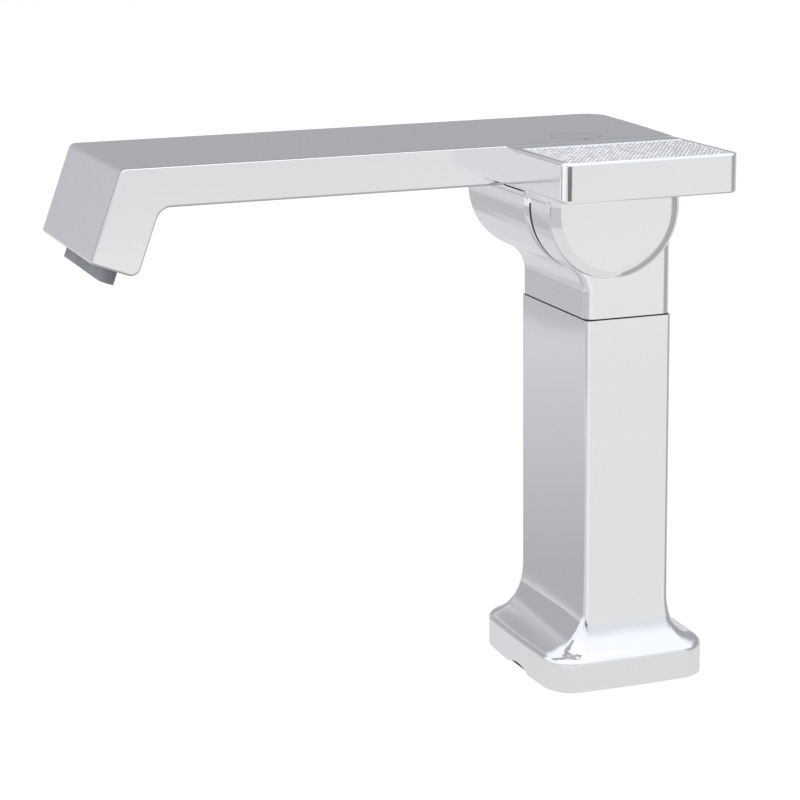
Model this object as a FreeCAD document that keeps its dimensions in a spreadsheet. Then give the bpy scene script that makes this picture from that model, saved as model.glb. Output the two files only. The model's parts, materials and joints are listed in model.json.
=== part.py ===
import FreeCAD, Part
import math
import os

import Sketcher

# Basin mixer tap: pillar and foot, head with a half drum, flat spout and a lever beside it.
# The spout points along -Y, the lever lies on +X, the tap stands on z = 0 with its pillar on the Z axis.

doc = FreeCAD.newDocument("basin_mixer")
sheet = doc.addObject("Spreadsheet::Sheet", "Sizes")

# Every size that can be set by itself, in millimetres and degrees
sizes = {
    "column_width": 52.0,
    "column_depth": 29.7,
    "column_corner": 1.6,
    "column_top": 120.9,
    "casting_wall": 3.2,
    "foot_width": 64.8,
    "foot_depth": 56.8,
    "foot_corner": 10.5,
    "foot_bow": 1.1,
    "foot_chamber": 7.0,
    "rim_height": 11.7,
    "rim_round": 2.4,
    "rim_slope": 20.0,
    "flare_height": 16.0,
    "flare_turn": 78.0,
    "foot_lift": 0.4,
    "gasket_thickness": 2.4,
    "gasket_width": 3.6,
    "gasket_inset": 1.5,
    "notch_width": 17.5,
    "notch_height": 2.2,
    "notch_offset": 2.5,
    "deck_thickness": 12.0,
    "stud_radius": 3.0,
    "stud_depth": 18.0,
    "stud_forward": 7.8,
    "stud_boss_radius": 5.0,
    "stud_boss_foot": 36.0,
    "stud_boss_height": 24.0,
    "stud_web": 6.0,
    "spigot_radius": 11.0,
    "spigot_length": 14.5,
    "fit_gap": 0.15,
    "inlet_radius": 4.0,
    "inlet_depth": 7.4,
    "inlet_spacing": 10.6,
    "filter_radius": 3.5,
    "filter_thickness": 1.6,
    "waterway_radius": 2.5,
    "seal_section": 0.75,
    "seal_depth": 9.0,
    "lock_screw_radius": 2.0,
    "lock_screw_length": 5.0,
    "lock_screw_spacing": 12.0,
    "lock_screw_depth": 4.0,
    "lock_groove": 1.0,
    "reveal_gap": 0.5,
    "reveal_depth": 1.6,
    "head_corner": 3.4,
    "throat_radius": 10.0,
    "drum_radius": 22.1,
    "axis_forward": 12.7,
    "neck_height": 4.6,
    "neck_flare": 2.6,
    "neck_lip": 0.8,
    "spout_top": 175.9,
    "spout_thickness": 12.3,
    "spout_side": 11.8,
    "spout_width": 66.9,
    "spout_front": 158.9,
    "spout_rear_near": 21.9,
    "spout_rear_far": 26.3,
    "spout_rear_bulge": 0.65,
    "spout_rear_corner": 8.5,
    "spout_edge": 0.9,
    "spout_wall": 2.6,
    "tip_angle": 20.5,
    "tip_thickness": 15.2,
    "tip_drop": 27.7,
    "tip_top_round": 2.5,
    "tip_front_round": 1.0,
    "tip_back_round": 3.0,
    "tip_inner_round": 5.0,
    "underplate_thickness": 1.8,
    "underplate_gap": 0.1,
    "duct_width": 16.0,
    "duct_wall": 1.1,
    "duct_inlet_radius": 4.0,
    "duct_inlet_back": 5.6,
    "duct_inlet_reach": 5.0,
    "port_wall": 1.4,
    "cap_radius": 7.75,
    "cap_thickness": 1.5,
    "cap_gap": 0.2,
    "cap_forward": 7.0,
    "pry_radius": 0.9,
    "screw_radius": 2.5,
    "screw_head_radius": 4.25,
    "screw_head_height": 3.4,
    "screw_reach": 5.6,
    "dowel_radius": 1.5,
    "dowel_reach": 4.0,
    "nozzle_length": 50.0,
    "nozzle_depth": 5.0,
    "nozzle_reach": 4.8,
    "nozzle_seat": 8.0,
    "nozzle_wall": 1.0,
    "nozzle_back": 1.5,
    "nozzle_gap": 0.12,
    "insert_height": 2.4,
    "insert_recess": 0.8,
    "insert_rib": 0.7,
    "nozzle_gasket_thickness": 1.0,
    "lever_width": 45.0,
    "lever_depth": 58.2,
    "lever_front": 36.8,
    "lever_gap": 0.35,
    "lever_corner": 3.2,
    "lever_edge": 1.0,
    "lever_lift": 25.0,
    "lever_relief": 0.4,
    "drum_gap": 1.2,
    "drum_length": 17.35,
    "drum_edge": 5.0,
    "drum_inner_edge": 0.8,
    "bore_radius": 12.75,
    "bore_depth": 11.0,
    "grip_margin_far": 8.6,
    "grip_margin_side": 2.2,
    "grip_margin_near": 0.9,
    "grip_thickness": 1.3,
    "grip_gap": 0.05,
    "collar_gap": 0.55,
    "cartridge_radius": 9.9,
    "cartridge_wall": 1.2,
    "cartridge_start": 12.5,
    "cartridge_length": 9.3,
    "cartridge_gap": 0.1,
    "disc_thickness": 2.0,
    "base_thickness": 1.8,
    "port_radius": 2.0,
    "port_circle": 5.4,
    "port_seal_width": 0.9,
    "port_seal_thickness": 1.1,
    "carrier_thickness": 1.6,
    "disc_gap": 0.3,
    "stem_radius": 3.9,
    "stem_grip": 3.6,
    "nut_radius": 10.9,
    "nut_bore": 7.2,
    "nut_reach": 3.4,
    "glide_width": 2.4,
    "glide_gap": 0.07,
    "set_screw_radius": 2.0,
    "set_screw_length": 6.0,
    "set_plug_radius": 2.7,
    "set_plug_thickness": 1.2,
    "overrun": 3.0,
}

for row, (alias, value) in enumerate(sizes.items(), start=1):
    sheet.set(f"A{row}", alias)
    sheet.set(f"B{row}", str(value))
    sheet.setAlias(f"B{row}", alias)
doc.recompute()


class Size:
    """A number from the sheet, or worked out from some, with the expression that gives it."""

    def __init__(self, value, text):
        self.value = value
        self.text = text

    def __add__(self, other):
        other = as_size(other)
        return Size(self.value + other.value, f"({self.text} + {other.text})")

    def __sub__(self, other):
        other = as_size(other)
        return Size(self.value - other.value, f"({self.text} - {other.text})")

    def __mul__(self, other):
        other = as_size(other)
        return Size(self.value * other.value, f"({self.text} * {other.text})")

    def __truediv__(self, other):
        other = as_size(other)
        return Size(self.value / other.value, f"({self.text} / {other.text})")

    def __neg__(self):
        return Size(-self.value, f"(0 - {self.text})")

    __radd__ = __add__
    __rmul__ = __mul__


def as_size(value):
    if isinstance(value, Size):
        return value
    return Size(float(value), str(float(value)))


def size(alias):
    return Size(sheet.get(alias), f"Sizes.{alias}")


def sine(angle):
    return Size(math.sin(math.radians(angle.value)), f"sin({angle.text} * 1 deg)")


def cosine(angle):
    return Size(math.cos(math.radians(angle.value)), f"cos({angle.text} * 1 deg)")


def root(amount):
    return Size(math.sqrt(amount.value), f"sqrt({amount.text})")


zero = as_size(0)
overrun = size("overrun")


def bind(thing, prop, amount):
    thing.setExpression(prop, as_size(amount).text)


def place(thing, at, axis=None, angle=None):
    if axis is not None:
        thing.Placement = FreeCAD.Placement(FreeCAD.Vector(), FreeCAD.Rotation(axis, as_size(angle).value))
    for letter, amount in zip("xyz", at):
        bind(thing, f"Placement.Base.{letter}", amount)
    return thing


along = {
    "x": (FreeCAD.Vector(0, 1, 0), 90),
    "y": (FreeCAD.Vector(-1, 0, 0), 90),
    "z": (FreeCAD.Vector(0, 0, 1), 0),
}


def box(name, low, high):
    """A box between two corners."""
    thing = doc.addObject("Part::Box", name)
    for prop, start, end in zip(("Length", "Width", "Height"), low, high):
        bind(thing, prop, end - start)
    return place(thing, low)


def cylinder(name, radius, length, at, axis="z"):
    thing = doc.addObject("Part::Cylinder", name)
    bind(thing, "Radius", radius)
    bind(thing, "Height", length)
    return place(thing, at, *along[axis])


def cut(name, base, *tools):
    thing = doc.addObject("Part::Cut", name)
    thing.Base = base
    thing.Tool = tools[0] if len(tools) == 1 else fuse(f"{name}_tools", *tools)
    return thing


def fuse(name, *things):
    thing = doc.addObject("Part::MultiFuse", name)
    thing.Shapes = list(things)
    return thing


def common(name, *things):
    thing = doc.addObject("Part::MultiCommon", name)
    thing.Shapes = list(things)
    return thing


def tube(name, outer, inner, length, at, axis="z"):
    wall = cylinder(f"{name}_wall", outer, length, at, axis)
    start = list(at)
    index = "xyz".index(axis)
    start[index] = at[index] - overrun
    bore = cylinder(f"{name}_bore", inner, length + overrun * 2, start, axis)
    return cut(name, wall, bore)


def shape_feature(name, shape):
    thing = doc.addObject("Part::Feature", name)
    thing.Shape = shape
    return thing


def new_body(name):
    return doc.addObject("PartDesign::Body", name)


def new_sketch(body, name, role, lift=None):
    plane = next(item for item in body.Origin.OriginFeatures if item.Role == role)
    sketch = body.newObject("Sketcher::SketchObject", name)
    sketch.AttachmentSupport = (plane, [""])
    sketch.MapMode = "FlatFace"
    if lift is not None:
        bind(sketch, "AttachmentOffset.Base.z", lift)
    return sketch


def fix_point(sketch, geometry, end, point):
    for kind, amount in zip(("DistanceX", "DistanceY"), point):
        if amount.text in ("0.0", "0"):
            axis = -2 if kind == "DistanceX" else -1
            sketch.addConstraint(Sketcher.Constraint("PointOnObject", geometry, end, axis))
            continue
        index = sketch.addConstraint(Sketcher.Constraint(kind, -1, 1, geometry, end, amount.value))
        bind(sketch, f"Constraints[{index}]", amount)


def outline(sketch, corners):
    """Closes a loop. A corner is (u, v), or (u, v, radius, centre u, centre v, turn) for an arc to the next."""
    vectors = [FreeCAD.Vector(corner[0].value, corner[1].value, 0) for corner in corners]
    count = len(corners)
    first = sketch.GeometryCount
    starts = []
    ends = []
    for index, corner in enumerate(corners):
        here = vectors[index]
        there = vectors[(index + 1) % count]
        geometry = first + index
        if len(corner) == 2:
            sketch.addGeometry(Part.LineSegment(here, there))
            starts.append((geometry, 1))
            ends.append((geometry, 2))
            continue
        radius, centre_u, centre_v, turn = corner[2:]
        centre = FreeCAD.Vector(centre_u.value, centre_v.value, 0)
        low, high = (here, there) if turn > 0 else (there, here)
        angles = [math.atan2(point.y - centre.y, point.x - centre.x) for point in (low, high)]
        if angles[1] < angles[0]:
            angles[1] += math.tau
        circle = Part.Circle(centre, FreeCAD.Vector(0, 0, 1), radius.value)
        sketch.addGeometry(Part.ArcOfCircle(circle, angles[0], angles[1]))
        starts.append((geometry, 1 if turn > 0 else 2))
        ends.append((geometry, 2 if turn > 0 else 1))
    for index in range(count):
        following = starts[(index + 1) % count]
        sketch.addConstraint(Sketcher.Constraint("Coincident", *ends[index], *following))
    for index, corner in enumerate(corners):
        fix_point(sketch, *starts[index], corner[:2])
    for index, corner in enumerate(corners):
        if len(corner) > 2:
            number = sketch.addConstraint(Sketcher.Constraint("Radius", first + index, corner[2].value))
            bind(sketch, f"Constraints[{number}]", corner[2])


def rounded_box_outline(sketch, left, right, low, high, radius):
    corners = [
        (right, low + radius),
        (right, high - radius, radius, right - radius, high - radius, 1),
        (right - radius, high),
        (left + radius, high, radius, left + radius, high - radius, 1),
        (left, high - radius),
        (left, low + radius, radius, left + radius, low + radius, 1),
        (left + radius, low),
        (right - radius, low, radius, right - radius, low + radius, 1),
    ]
    outline(sketch, corners)


def pad(body, name, sketch, length, middle=False, back=False):
    feature = body.newObject("PartDesign::Pad", name)
    feature.Profile = sketch
    feature.Midplane = middle
    feature.Reversed = back
    bind(feature, "Length", length)
    sketch.Visibility = False
    doc.recompute()
    return feature


def turn_profile(body, name, sketch):
    """Turns a sketch once round the body's own X axis."""
    feature = body.newObject("PartDesign::Revolution", name)
    feature.Profile = sketch
    feature.ReferenceAxis = (sketch, ["H_Axis"])
    feature.Angle = 360
    sketch.Visibility = False
    doc.recompute()
    return feature


def trim_through(body, name, sketch):
    """Takes away what lies inside the sketch, to both sides of its plane and all the way through."""
    feature = body.newObject("PartDesign::Pocket", name)
    feature.Profile = sketch
    feature.Type = 1
    feature.Midplane = True
    doc.recompute()
    return feature


def round_edges(body, name, radius, wanted):
    """Rounds the edges of the body's last feature whose midpoint passes the test."""
    last = body.Tip
    names = []
    for number, edge in enumerate(last.Shape.Edges, start=1):
        middle = edge.valueAt((edge.FirstParameter + edge.LastParameter) / 2)
        if wanted(edge, middle):
            names.append(f"Edge{number}")
    feature = body.newObject("PartDesign::Fillet", name)
    feature.Base = (last, names)
    bind(feature, "Radius", radius)
    doc.recompute()
    return feature


close = 1e-4


def same(first, second):
    return abs(first - second) < close


def runs_along(edge, axis):
    if len(edge.Vertexes) < 2:
        return False
    step = edge.Vertexes[-1].Point - edge.Vertexes[0].Point
    return abs(abs(getattr(step, axis)) - edge.Length) < close


parts = {}


def keep(name, thing):
    thing.Label = name
    parts[name] = thing
    return thing


half_width = size("column_width") / 2
half_depth = size("column_depth") / 2
column_top = size("column_top")
wall = size("casting_wall")
fit_gap = size("fit_gap")
axis_y = -size("axis_forward")
axis_z = size("spout_top") - size("spout_thickness") - size("neck_height")


# Foot outline: four bowed sides, each an arc, joined by corner arcs that touch them
def bowed_outline(half_x, half_y, corner, bow, height):
    side_x = (half_y**2 + bow**2) / (2 * bow)
    side_y = (half_x**2 + bow**2) / (2 * bow)
    reach_x = side_x - corner
    reach_y = side_y - corner
    centre_x = half_x - side_x
    centre_y = half_y - side_y
    span = math.hypot(centre_x, centre_y)
    share = (reach_x**2 - reach_y**2 + span**2) / (2 * span)
    rise = math.sqrt(reach_x**2 - share**2)
    toward = FreeCAD.Vector(-centre_x / span, centre_y / span, 0)
    across = FreeCAD.Vector(-toward.y, toward.x, 0)
    middle = FreeCAD.Vector(centre_x, 0, 0) + toward * share
    corner_centre = max(middle + across * rise, middle - across * rise, key=lambda point: point.x + point.y)
    from_x = (corner_centre - FreeCAD.Vector(centre_x, 0, 0)).normalize()
    from_y = (corner_centre - FreeCAD.Vector(0, centre_y, 0)).normalize()
    diagonal = (from_x + from_y).normalize()
    touch_x = FreeCAD.Vector(centre_x, 0, 0) + from_x * side_x
    touch_y = FreeCAD.Vector(0, centre_y, 0) + from_y * side_y
    peak = corner_centre + diagonal * corner
    lift = FreeCAD.Vector(0, 0, height)

    def point(base, sign_x, sign_y):
        return FreeCAD.Vector(base.x * sign_x, base.y * sign_y, 0) + lift

    edge_x = FreeCAD.Vector(half_x, 0, 0)
    edge_y = FreeCAD.Vector(0, half_y, 0)
    arcs = [
        (point(touch_x, 1, -1), point(edge_x, 1, 1), point(touch_x, 1, 1)),
        (point(touch_x, 1, 1), point(peak, 1, 1), point(touch_y, 1, 1)),
        (point(touch_y, 1, 1), point(edge_y, 1, 1), point(touch_y, -1, 1)),
        (point(touch_y, -1, 1), point(peak, -1, 1), point(touch_x, -1, 1)),
        (point(touch_x, -1, 1), point(edge_x, -1, 1), point(touch_x, -1, -1)),
        (point(touch_x, -1, -1), point(peak, -1, -1), point(touch_y, -1, -1)),
        (point(touch_y, -1, -1), point(edge_y, 1, -1), point(touch_y, 1, -1)),
        (point(touch_y, 1, -1), point(peak, 1, -1), point(touch_x, 1, -1)),
    ]
    return Part.Wire([Part.Arc(*three).toShape() for three in arcs])


def foot_section(share, outset, height):
    """The outline between pillar (share 0) and foot (share 1), moved out by a length."""
    least_bow_share = 0.02
    rim_reach = sizes["rim_round"] * (1 - math.sin(math.radians(sizes["rim_slope"])))
    reach_x = (sizes["foot_width"] - sizes["column_width"]) / 2 - rim_reach
    reach_y = (sizes["foot_depth"] - sizes["column_depth"]) / 2 - rim_reach
    corner = sizes["column_corner"] + (sizes["foot_corner"] - sizes["column_corner"]) * share
    bow = sizes["foot_bow"] * max(share, least_bow_share)
    half_x = sizes["column_width"] / 2 + reach_x * share + outset
    half_y = sizes["column_depth"] / 2 + reach_y * share + outset
    return bowed_outline(half_x, half_y, corner, bow, height)


def build_column():
    # Ogee foot: a hollow quarter of an ellipse, stopped before it is level, runs into a rounded rim
    flare_steps = 7
    rim_steps = 5
    flare_end = math.radians(sizes["flare_turn"])
    whole_share = 1 - math.cos(flare_end)
    flare = []
    for step in range(flare_steps + 1):
        turn = flare_end * step / flare_steps
        height = sizes["rim_height"] + sizes["flare_height"] * (math.sin(flare_end) - math.sin(turn))
        flare.append(foot_section((1 - math.cos(turn)) / whole_share, 0, height))
    rim = []
    rim_start = math.radians(sizes["rim_slope"])
    for step in range(rim_steps + 1):
        turn = rim_start + (math.pi / 2 - rim_start) * step / rim_steps
        outset = sizes["rim_round"] * (math.sin(turn) - math.sin(rim_start))
        height = sizes["rim_height"] - sizes["rim_round"] * (math.cos(rim_start) - math.cos(turn))
        rim.append(foot_section(1, outset, height))
    top = flare[0].BoundBox.ZMin
    low = rim[-1].BoundBox.ZMin
    pieces = [
        Part.Face(flare[0]).extrude(FreeCAD.Vector(0, 0, sizes["column_top"] - top)),
        Part.makeLoft(flare, True, True),
        Part.makeLoft(rim, True, True),
        Part.Face(rim[-1]).extrude(FreeCAD.Vector(0, 0, sizes["foot_lift"] - low)),
    ]
    outer = shape_feature("column_outer", pieces[0].fuse(pieces[1:]))

    deck = column_top - size("deck_thickness")
    bay = new_body("column_bay")
    bay_sketch = new_sketch(bay, "column_bay_sketch", "XY_Plane")
    rounded_box_outline(bay_sketch, wall - half_width, half_width - wall, wall - half_depth,
                        half_depth - wall, size("column_corner"))
    pad(bay, "column_bay_pad", bay_sketch, deck)

    chamber = new_body("foot_chamber")
    chamber_sketch = new_sketch(chamber, "foot_chamber_sketch", "XY_Plane")
    inner_x = size("foot_width") / 2 - size("gasket_inset") - size("gasket_width")
    inner_y = size("foot_depth") / 2 - size("gasket_inset") - size("gasket_width")
    rounded_box_outline(chamber_sketch, -inner_x, inner_x, -inner_y, inner_y, size("foot_corner") / 2)
    pad(chamber, "foot_chamber_pad", chamber_sketch, size("foot_chamber"))

    groove = new_body("gasket_groove")
    groove_sketch = new_sketch(groove, "gasket_groove_sketch", "XY_Plane")
    gasket_x = size("foot_width") / 2 - size("gasket_inset")
    gasket_y = size("foot_depth") / 2 - size("gasket_inset")
    rounded_box_outline(groove_sketch, -gasket_x, gasket_x, -gasket_y, gasket_y,
                        size("foot_corner") - size("gasket_inset"))
    pad(groove, "gasket_groove_pad", groove_sketch, size("gasket_thickness"))

    # Drain notch in the front edge of the foot, a flat arch
    notch_radius = ((size("notch_width") / 2) * (size("notch_width") / 2)
                    + size("notch_height") * size("notch_height")) / (size("notch_height") * 2)
    notch = cylinder("foot_notch", notch_radius, size("gasket_inset") + overrun,
                     (size("notch_offset"), -size("foot_depth") / 2 - overrun,
                      size("notch_height") - notch_radius), "y")

    bore = cylinder("spigot_bore", size("spigot_radius") + fit_gap, size("deck_thickness") + overrun * 2,
                    (zero, zero, deck - overrun))
    screws = []
    for side in (-1, 1):
        screws.append(cylinder(f"lock_hole_{side + 2}", size("lock_screw_radius"), half_depth + overrun,
                               (size("lock_screw_spacing") / 2 * side, zero,
                                column_top - size("lock_screw_depth")), "y"))

    # Boss for the stud, cast onto the inside of the front wall
    boss_top = size("stud_boss_foot") + size("stud_boss_height")
    stud_y = -size("stud_forward")
    boss = cylinder("stud_boss", size("stud_boss_radius"), size("stud_boss_height"),
                    (zero, stud_y, size("stud_boss_foot")))
    web = box("stud_web", (-size("stud_web") / 2, -half_depth + wall / 2, size("stud_boss_foot")),
              (size("stud_web") / 2, stud_y, boss_top))
    shell = cut("column_shell", outer, bay, chamber, groove, notch, bore, *screws)
    stud_hole = cylinder("stud_hole", size("stud_radius"), size("stud_depth") + overrun,
                         (zero, stud_y, size("stud_boss_foot") - overrun))
    keep("column", cut("column", fuse("column_solid", shell, boss, web), stud_hole))


def build_gasket():
    body = new_body("gasket")
    sketch = new_sketch(body, "gasket_sketch", "XY_Plane")
    gap = size("grip_gap")
    outer_x = size("foot_width") / 2 - size("gasket_inset") - gap
    outer_y = size("foot_depth") / 2 - size("gasket_inset") - gap
    inner_x = outer_x - size("gasket_width")
    inner_y = outer_y - size("gasket_width")
    outer_corner = size("foot_corner") - size("gasket_inset") - gap
    rounded_box_outline(sketch, -outer_x, outer_x, -outer_y, outer_y, outer_corner)
    rounded_box_outline(sketch, -inner_x, inner_x, -inner_y, inner_y, outer_corner - size("gasket_width"))
    pad(body, "gasket_pad", sketch, size("gasket_thickness"))
    keep("base_gasket", body)


spout_under = size("spout_top") - size("spout_thickness")
head_foot = column_top + size("reveal_gap")
spout_near = size("spout_side")
spout_far = size("spout_side") - size("spout_width")
spout_middle = (spout_near + spout_far) / 2
lift_angle = size("lever_lift")
lever_far = spout_near + size("lever_gap")
bore_radius = size("bore_radius")
collar_radius = bore_radius - size("collar_gap")
cartridge_start = size("cartridge_start")
cap_y = -size("cap_forward")


def neck_outline(rear, floor_corners):
    """Side view of the round neck: rear wall, flared top, front of the drum, then the corners below it."""
    radius = size("drum_radius")
    flare = size("neck_flare")
    lip = size("neck_lip")
    front = axis_y - radius
    flare_foot = spout_under - flare
    lip_height = root(flare * flare - lip * lip)
    corners = [
        (rear, spout_under),
        (front - flare + lip, spout_under),
        (front - flare + lip, flare_foot + lip_height, flare, front - flare, flare_foot, -1),
        (front, flare_foot),
    ]
    return corners + floor_corners


def passage(points, radius):
    """A waterway of drilled bores. Each is narrower than the one before and runs on into the next."""
    narrowing_share = 0.92
    vectors = [FreeCAD.Vector(*(amount.value for amount in point)) for point in points]
    bores = []
    for start, end in zip(vectors, vectors[1:]):
        step = end - start
        bores.append(Part.makeCylinder(radius, step.Length + radius, start, step))
        radius *= narrowing_share
    return bores[0].fuse(bores[1:])


def port_places():
    """Outlet at the front, hot below, cold at the rear, on one circle round the axis."""
    port_angle_shares = {"outlet": 0.5, "hot": 0.75, "cold": 1.0}
    places = {}
    for name, share in port_angle_shares.items():
        turn = as_size(360 * share)
        places[name] = (axis_y + size("port_circle") * cosine(turn), axis_z + size("port_circle") * sine(turn))
    return places


def build_head():
    radius = size("drum_radius")
    throat = size("throat_radius")
    front = -half_depth
    throat_y = front - throat
    apart = throat_y - axis_y
    throat_drop = root((radius + throat) * (radius + throat) - apart * apart)
    throat_z = axis_z - throat_drop
    touch_share = radius / (radius + throat)
    touch_y = axis_y + apart * touch_share
    touch_z = axis_z - throat_drop * touch_share
    floor_corners = [
        (axis_y - radius, axis_z, radius, axis_y, axis_z, 1),
        (touch_y, touch_z, throat, throat_y, throat_z, -1),
        (front, throat_z),
        (front, head_foot),
        (half_depth, head_foot),
    ]
    body = new_body("head_casting")
    sketch = new_sketch(body, "head_side", "YZ_Plane")
    outline(sketch, neck_outline(half_depth, floor_corners))
    pad(body, "head_pad", sketch, size("column_width"), middle=True)

    def end_corner(edge, middle):
        on_end = same(abs(middle.x), half_width.value)
        level = same(middle.z, head_foot.value) or same(middle.z, spout_under.value)
        return on_end and not level and edge.Length > size("neck_lip").value

    round_edges(body, "head_corners", size("head_corner"), end_corner)

    step = size("reveal_depth")
    seat_step = box("head_seat_step", (step - half_width, step - half_depth, column_top),
                    (half_width - step, half_depth - step, head_foot + step))
    spigot = cylinder("head_spigot", size("spigot_radius"), size("spigot_length") + size("reveal_gap"),
                      (zero, zero, column_top - size("spigot_length")))
    collar = cylinder("head_collar", collar_radius, half_width - lever_far,
                      (lever_far, axis_y, axis_z), "x")

    # Room above the neck for the lever's underside, level in front and falling behind as far as it tilts
    relief_body = new_body("lever_room")
    relief_sketch = new_sketch(relief_body, "lever_room_side", "YZ_Plane", lever_far - size("lever_gap"))
    height = spout_under - size("lever_relief") - axis_z
    reach = size("lever_depth")
    knee = height * (as_size(1) - cosine(lift_angle)) / sine(lift_angle)
    outline(relief_sketch, [
        (axis_y - reach, axis_z + height),
        (axis_y + knee, axis_z + height),
        (axis_y + knee + reach * cosine(lift_angle), axis_z + height - reach * sine(lift_angle)),
        (axis_y + knee + reach * cosine(lift_angle), axis_z + reach),
        (axis_y - reach, axis_z + reach),
    ])
    pad(relief_body, "lever_room_pad", relief_sketch, half_width)

    seat = cylinder("cartridge_seat", size("cartridge_radius") + size("cartridge_gap"), half_width,
                    (cartridge_start, axis_y, axis_z), "x")
    nut_start = cartridge_start + size("cartridge_length")
    thread = cylinder("nut_thread", size("nut_radius"), half_width, (nut_start, axis_y, axis_z), "x")

    places = port_places()
    inlet_x = size("inlet_spacing") / 2
    inlet_z = column_top - size("spigot_length")
    inlet_top = inlet_z + size("inlet_depth") + size("filter_thickness")
    duct_y = axis_y - size("duct_inlet_back")
    elbow = size("waterway_radius") + size("port_wall")
    turn_z = throat_z + throat / 2
    paths = {
        "hot": [
            (cartridge_start, *places["hot"]),
            (-inlet_x, *places["hot"]),
            (-inlet_x, zero, turn_z),
            (-inlet_x, zero, inlet_top),
        ],
        "cold": [
            (cartridge_start, *places["cold"]),
            (cartridge_start - elbow, *places["cold"]),
            (inlet_x, zero, turn_z),
            (inlet_x, zero, inlet_top),
        ],
        "outlet": [
            (cartridge_start, *places["outlet"]),
            (spout_middle, duct_y, places["outlet"][1]),
            (spout_middle, duct_y, spout_under),
        ],
    }
    waterways = [shape_feature(f"waterway_{name}", passage(path, sizes["waterway_radius"]))
                 for name, path in paths.items()]
    inlets = []
    for number, side in enumerate((-1, 1), start=1):
        inlets.append(cylinder(f"inlet_port_{number}", size("inlet_radius"), size("inlet_depth") + overrun,
                               (inlet_x * side, zero, inlet_z - overrun)))
        inlets.append(cylinder(f"filter_seat_{number}", size("filter_radius"), inlet_top - inlet_z,
                               (inlet_x * side, zero, inlet_z)))
    socket = cylinder("spout_socket", size("duct_inlet_radius") + size("seal_section") * 2 - fit_gap,
                      size("duct_inlet_reach") + overrun,
                      (spout_middle, duct_y, spout_under - size("duct_inlet_reach")))
    screw_hole = cylinder("spout_screw_hole", size("screw_radius"), size("screw_reach") + overrun,
                          (zero, cap_y, spout_under - size("screw_reach")))
    dowels = [cylinder(f"dowel_hole_{number}", size("dowel_radius"), size("dowel_reach") + overrun,
                       (x, y, spout_under - size("dowel_reach")))
              for number, (x, y) in enumerate(dowel_places(), start=1)]
    seal_z = column_top - size("seal_depth")
    seal_groove = tube("seal_groove", size("spigot_radius") + overrun,
                       size("spigot_radius") - size("seal_section") * 2 + fit_gap,
                       size("seal_section") * 2, (zero, zero, seal_z - size("seal_section")))
    lock_groove = tube("lock_groove", size("spigot_radius") + overrun,
                       size("spigot_radius") - size("lock_groove"), size("lock_screw_radius") * 2,
                       (zero, zero, column_top - size("lock_screw_depth") - size("lock_screw_radius")))

    roofed = cut("head_roofed", body, relief_body)
    solid = fuse("head_solid", roofed, collar, seat_step, spigot)
    keep("head_body", cut("head_body", solid, seat, thread, *waterways, *inlets, socket, screw_hole,
                          *dowels, seal_groove, lock_groove))


def dowel_places():
    """One dowel at each end of the seat, behind the drum."""
    return [
        (-half_width + wall * 2, half_depth - wall * 2),
        (spout_near - wall * 2, half_depth - wall * 2),
    ]


def build_head_fixings():
    gap = size("grip_gap")
    section = size("seal_section")
    keep("head_seal", tube("head_seal", size("spigot_radius") + fit_gap - gap,
                           size("spigot_radius") - section * 2 + fit_gap + gap, (section - gap) * 2,
                           (zero, zero, column_top - size("seal_depth") - section + gap)))
    screws = []
    groove_floor = size("spigot_radius") - size("lock_groove")
    inner_side = size("lock_screw_spacing") / 2 - size("lock_screw_radius")
    tip = root(groove_floor * groove_floor - inner_side * inner_side) + gap
    for side in (-1, 1):
        screws.append(cylinder(f"lock_screw_{side + 2}", size("lock_screw_radius") - size("grip_gap"),
                               size("lock_screw_length"),
                               (size("lock_screw_spacing") / 2 * side, tip,
                                column_top - size("lock_screw_depth")), "y"))
    keep("head_lock_screws", fuse("head_lock_screws", *screws))
    inlet_x = size("inlet_spacing") / 2
    filter_z = column_top - size("spigot_length") + size("inlet_depth")
    filters = []
    for number, side in enumerate((-1, 1), start=1):
        filters.append(tube(f"inlet_filter_{number}", size("filter_radius") - gap,
                            size("waterway_radius") / 2, size("filter_thickness") - gap,
                            (inlet_x * side, zero, filter_z + gap)))
    keep("inlet_filters", fuse("inlet_filters", *filters))


# Places along the spout's side view
tip_angle = size("tip_angle")
tip_lean = sine(tip_angle) / cosine(tip_angle)
tip_top = -size("spout_front")
tip_low_y = tip_top - size("tip_drop") * tip_lean
tip_low_z = size("spout_top") - size("tip_drop")
tip_back_y = tip_low_y + size("tip_thickness") * cosine(tip_angle)
tip_back_z = tip_low_z - size("tip_thickness") * sine(tip_angle)
inner_y = tip_back_y + (spout_under - tip_back_z) * tip_lean
nozzle_along = size("tip_thickness") / 2 + size("nozzle_back")
nozzle_y = tip_low_y + nozzle_along * cosine(tip_angle)
nozzle_z = tip_low_z - nozzle_along * sine(tip_angle)
duct_front = tip_top + size("spout_wall")
drop_top = size("tip_drop") - size("spout_wall")
spout_rear = size("spout_rear_far") + size("spout_rear_corner")
lean_axis = FreeCAD.Vector(-1, 0, 0)


def lean(thing):
    """Turns a piece of the outlet, drawn upright at the origin, into the tip."""
    if thing.TypeId == "Part::Box":
        drawn = thing
        thing = doc.addObject("Part::Compound", f"{drawn.Name}_leaned")
        thing.Links = [drawn]
    return place(thing, (spout_middle, nozzle_y, nozzle_z), lean_axis, tip_angle)


def slot(name, length, depth, low, high):
    """An upright prism with round ends, long along X."""
    radius = depth / 2
    straight = length / 2 - radius
    middle = box(f"{name}_middle", (-straight, -radius, low), (straight, radius, high))
    ends = [cylinder(f"{name}_end_{number}", radius, high - low, (straight * side, zero, low))
            for number, side in enumerate((-1, 1), start=1)]
    return fuse(name, middle, *ends)


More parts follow.
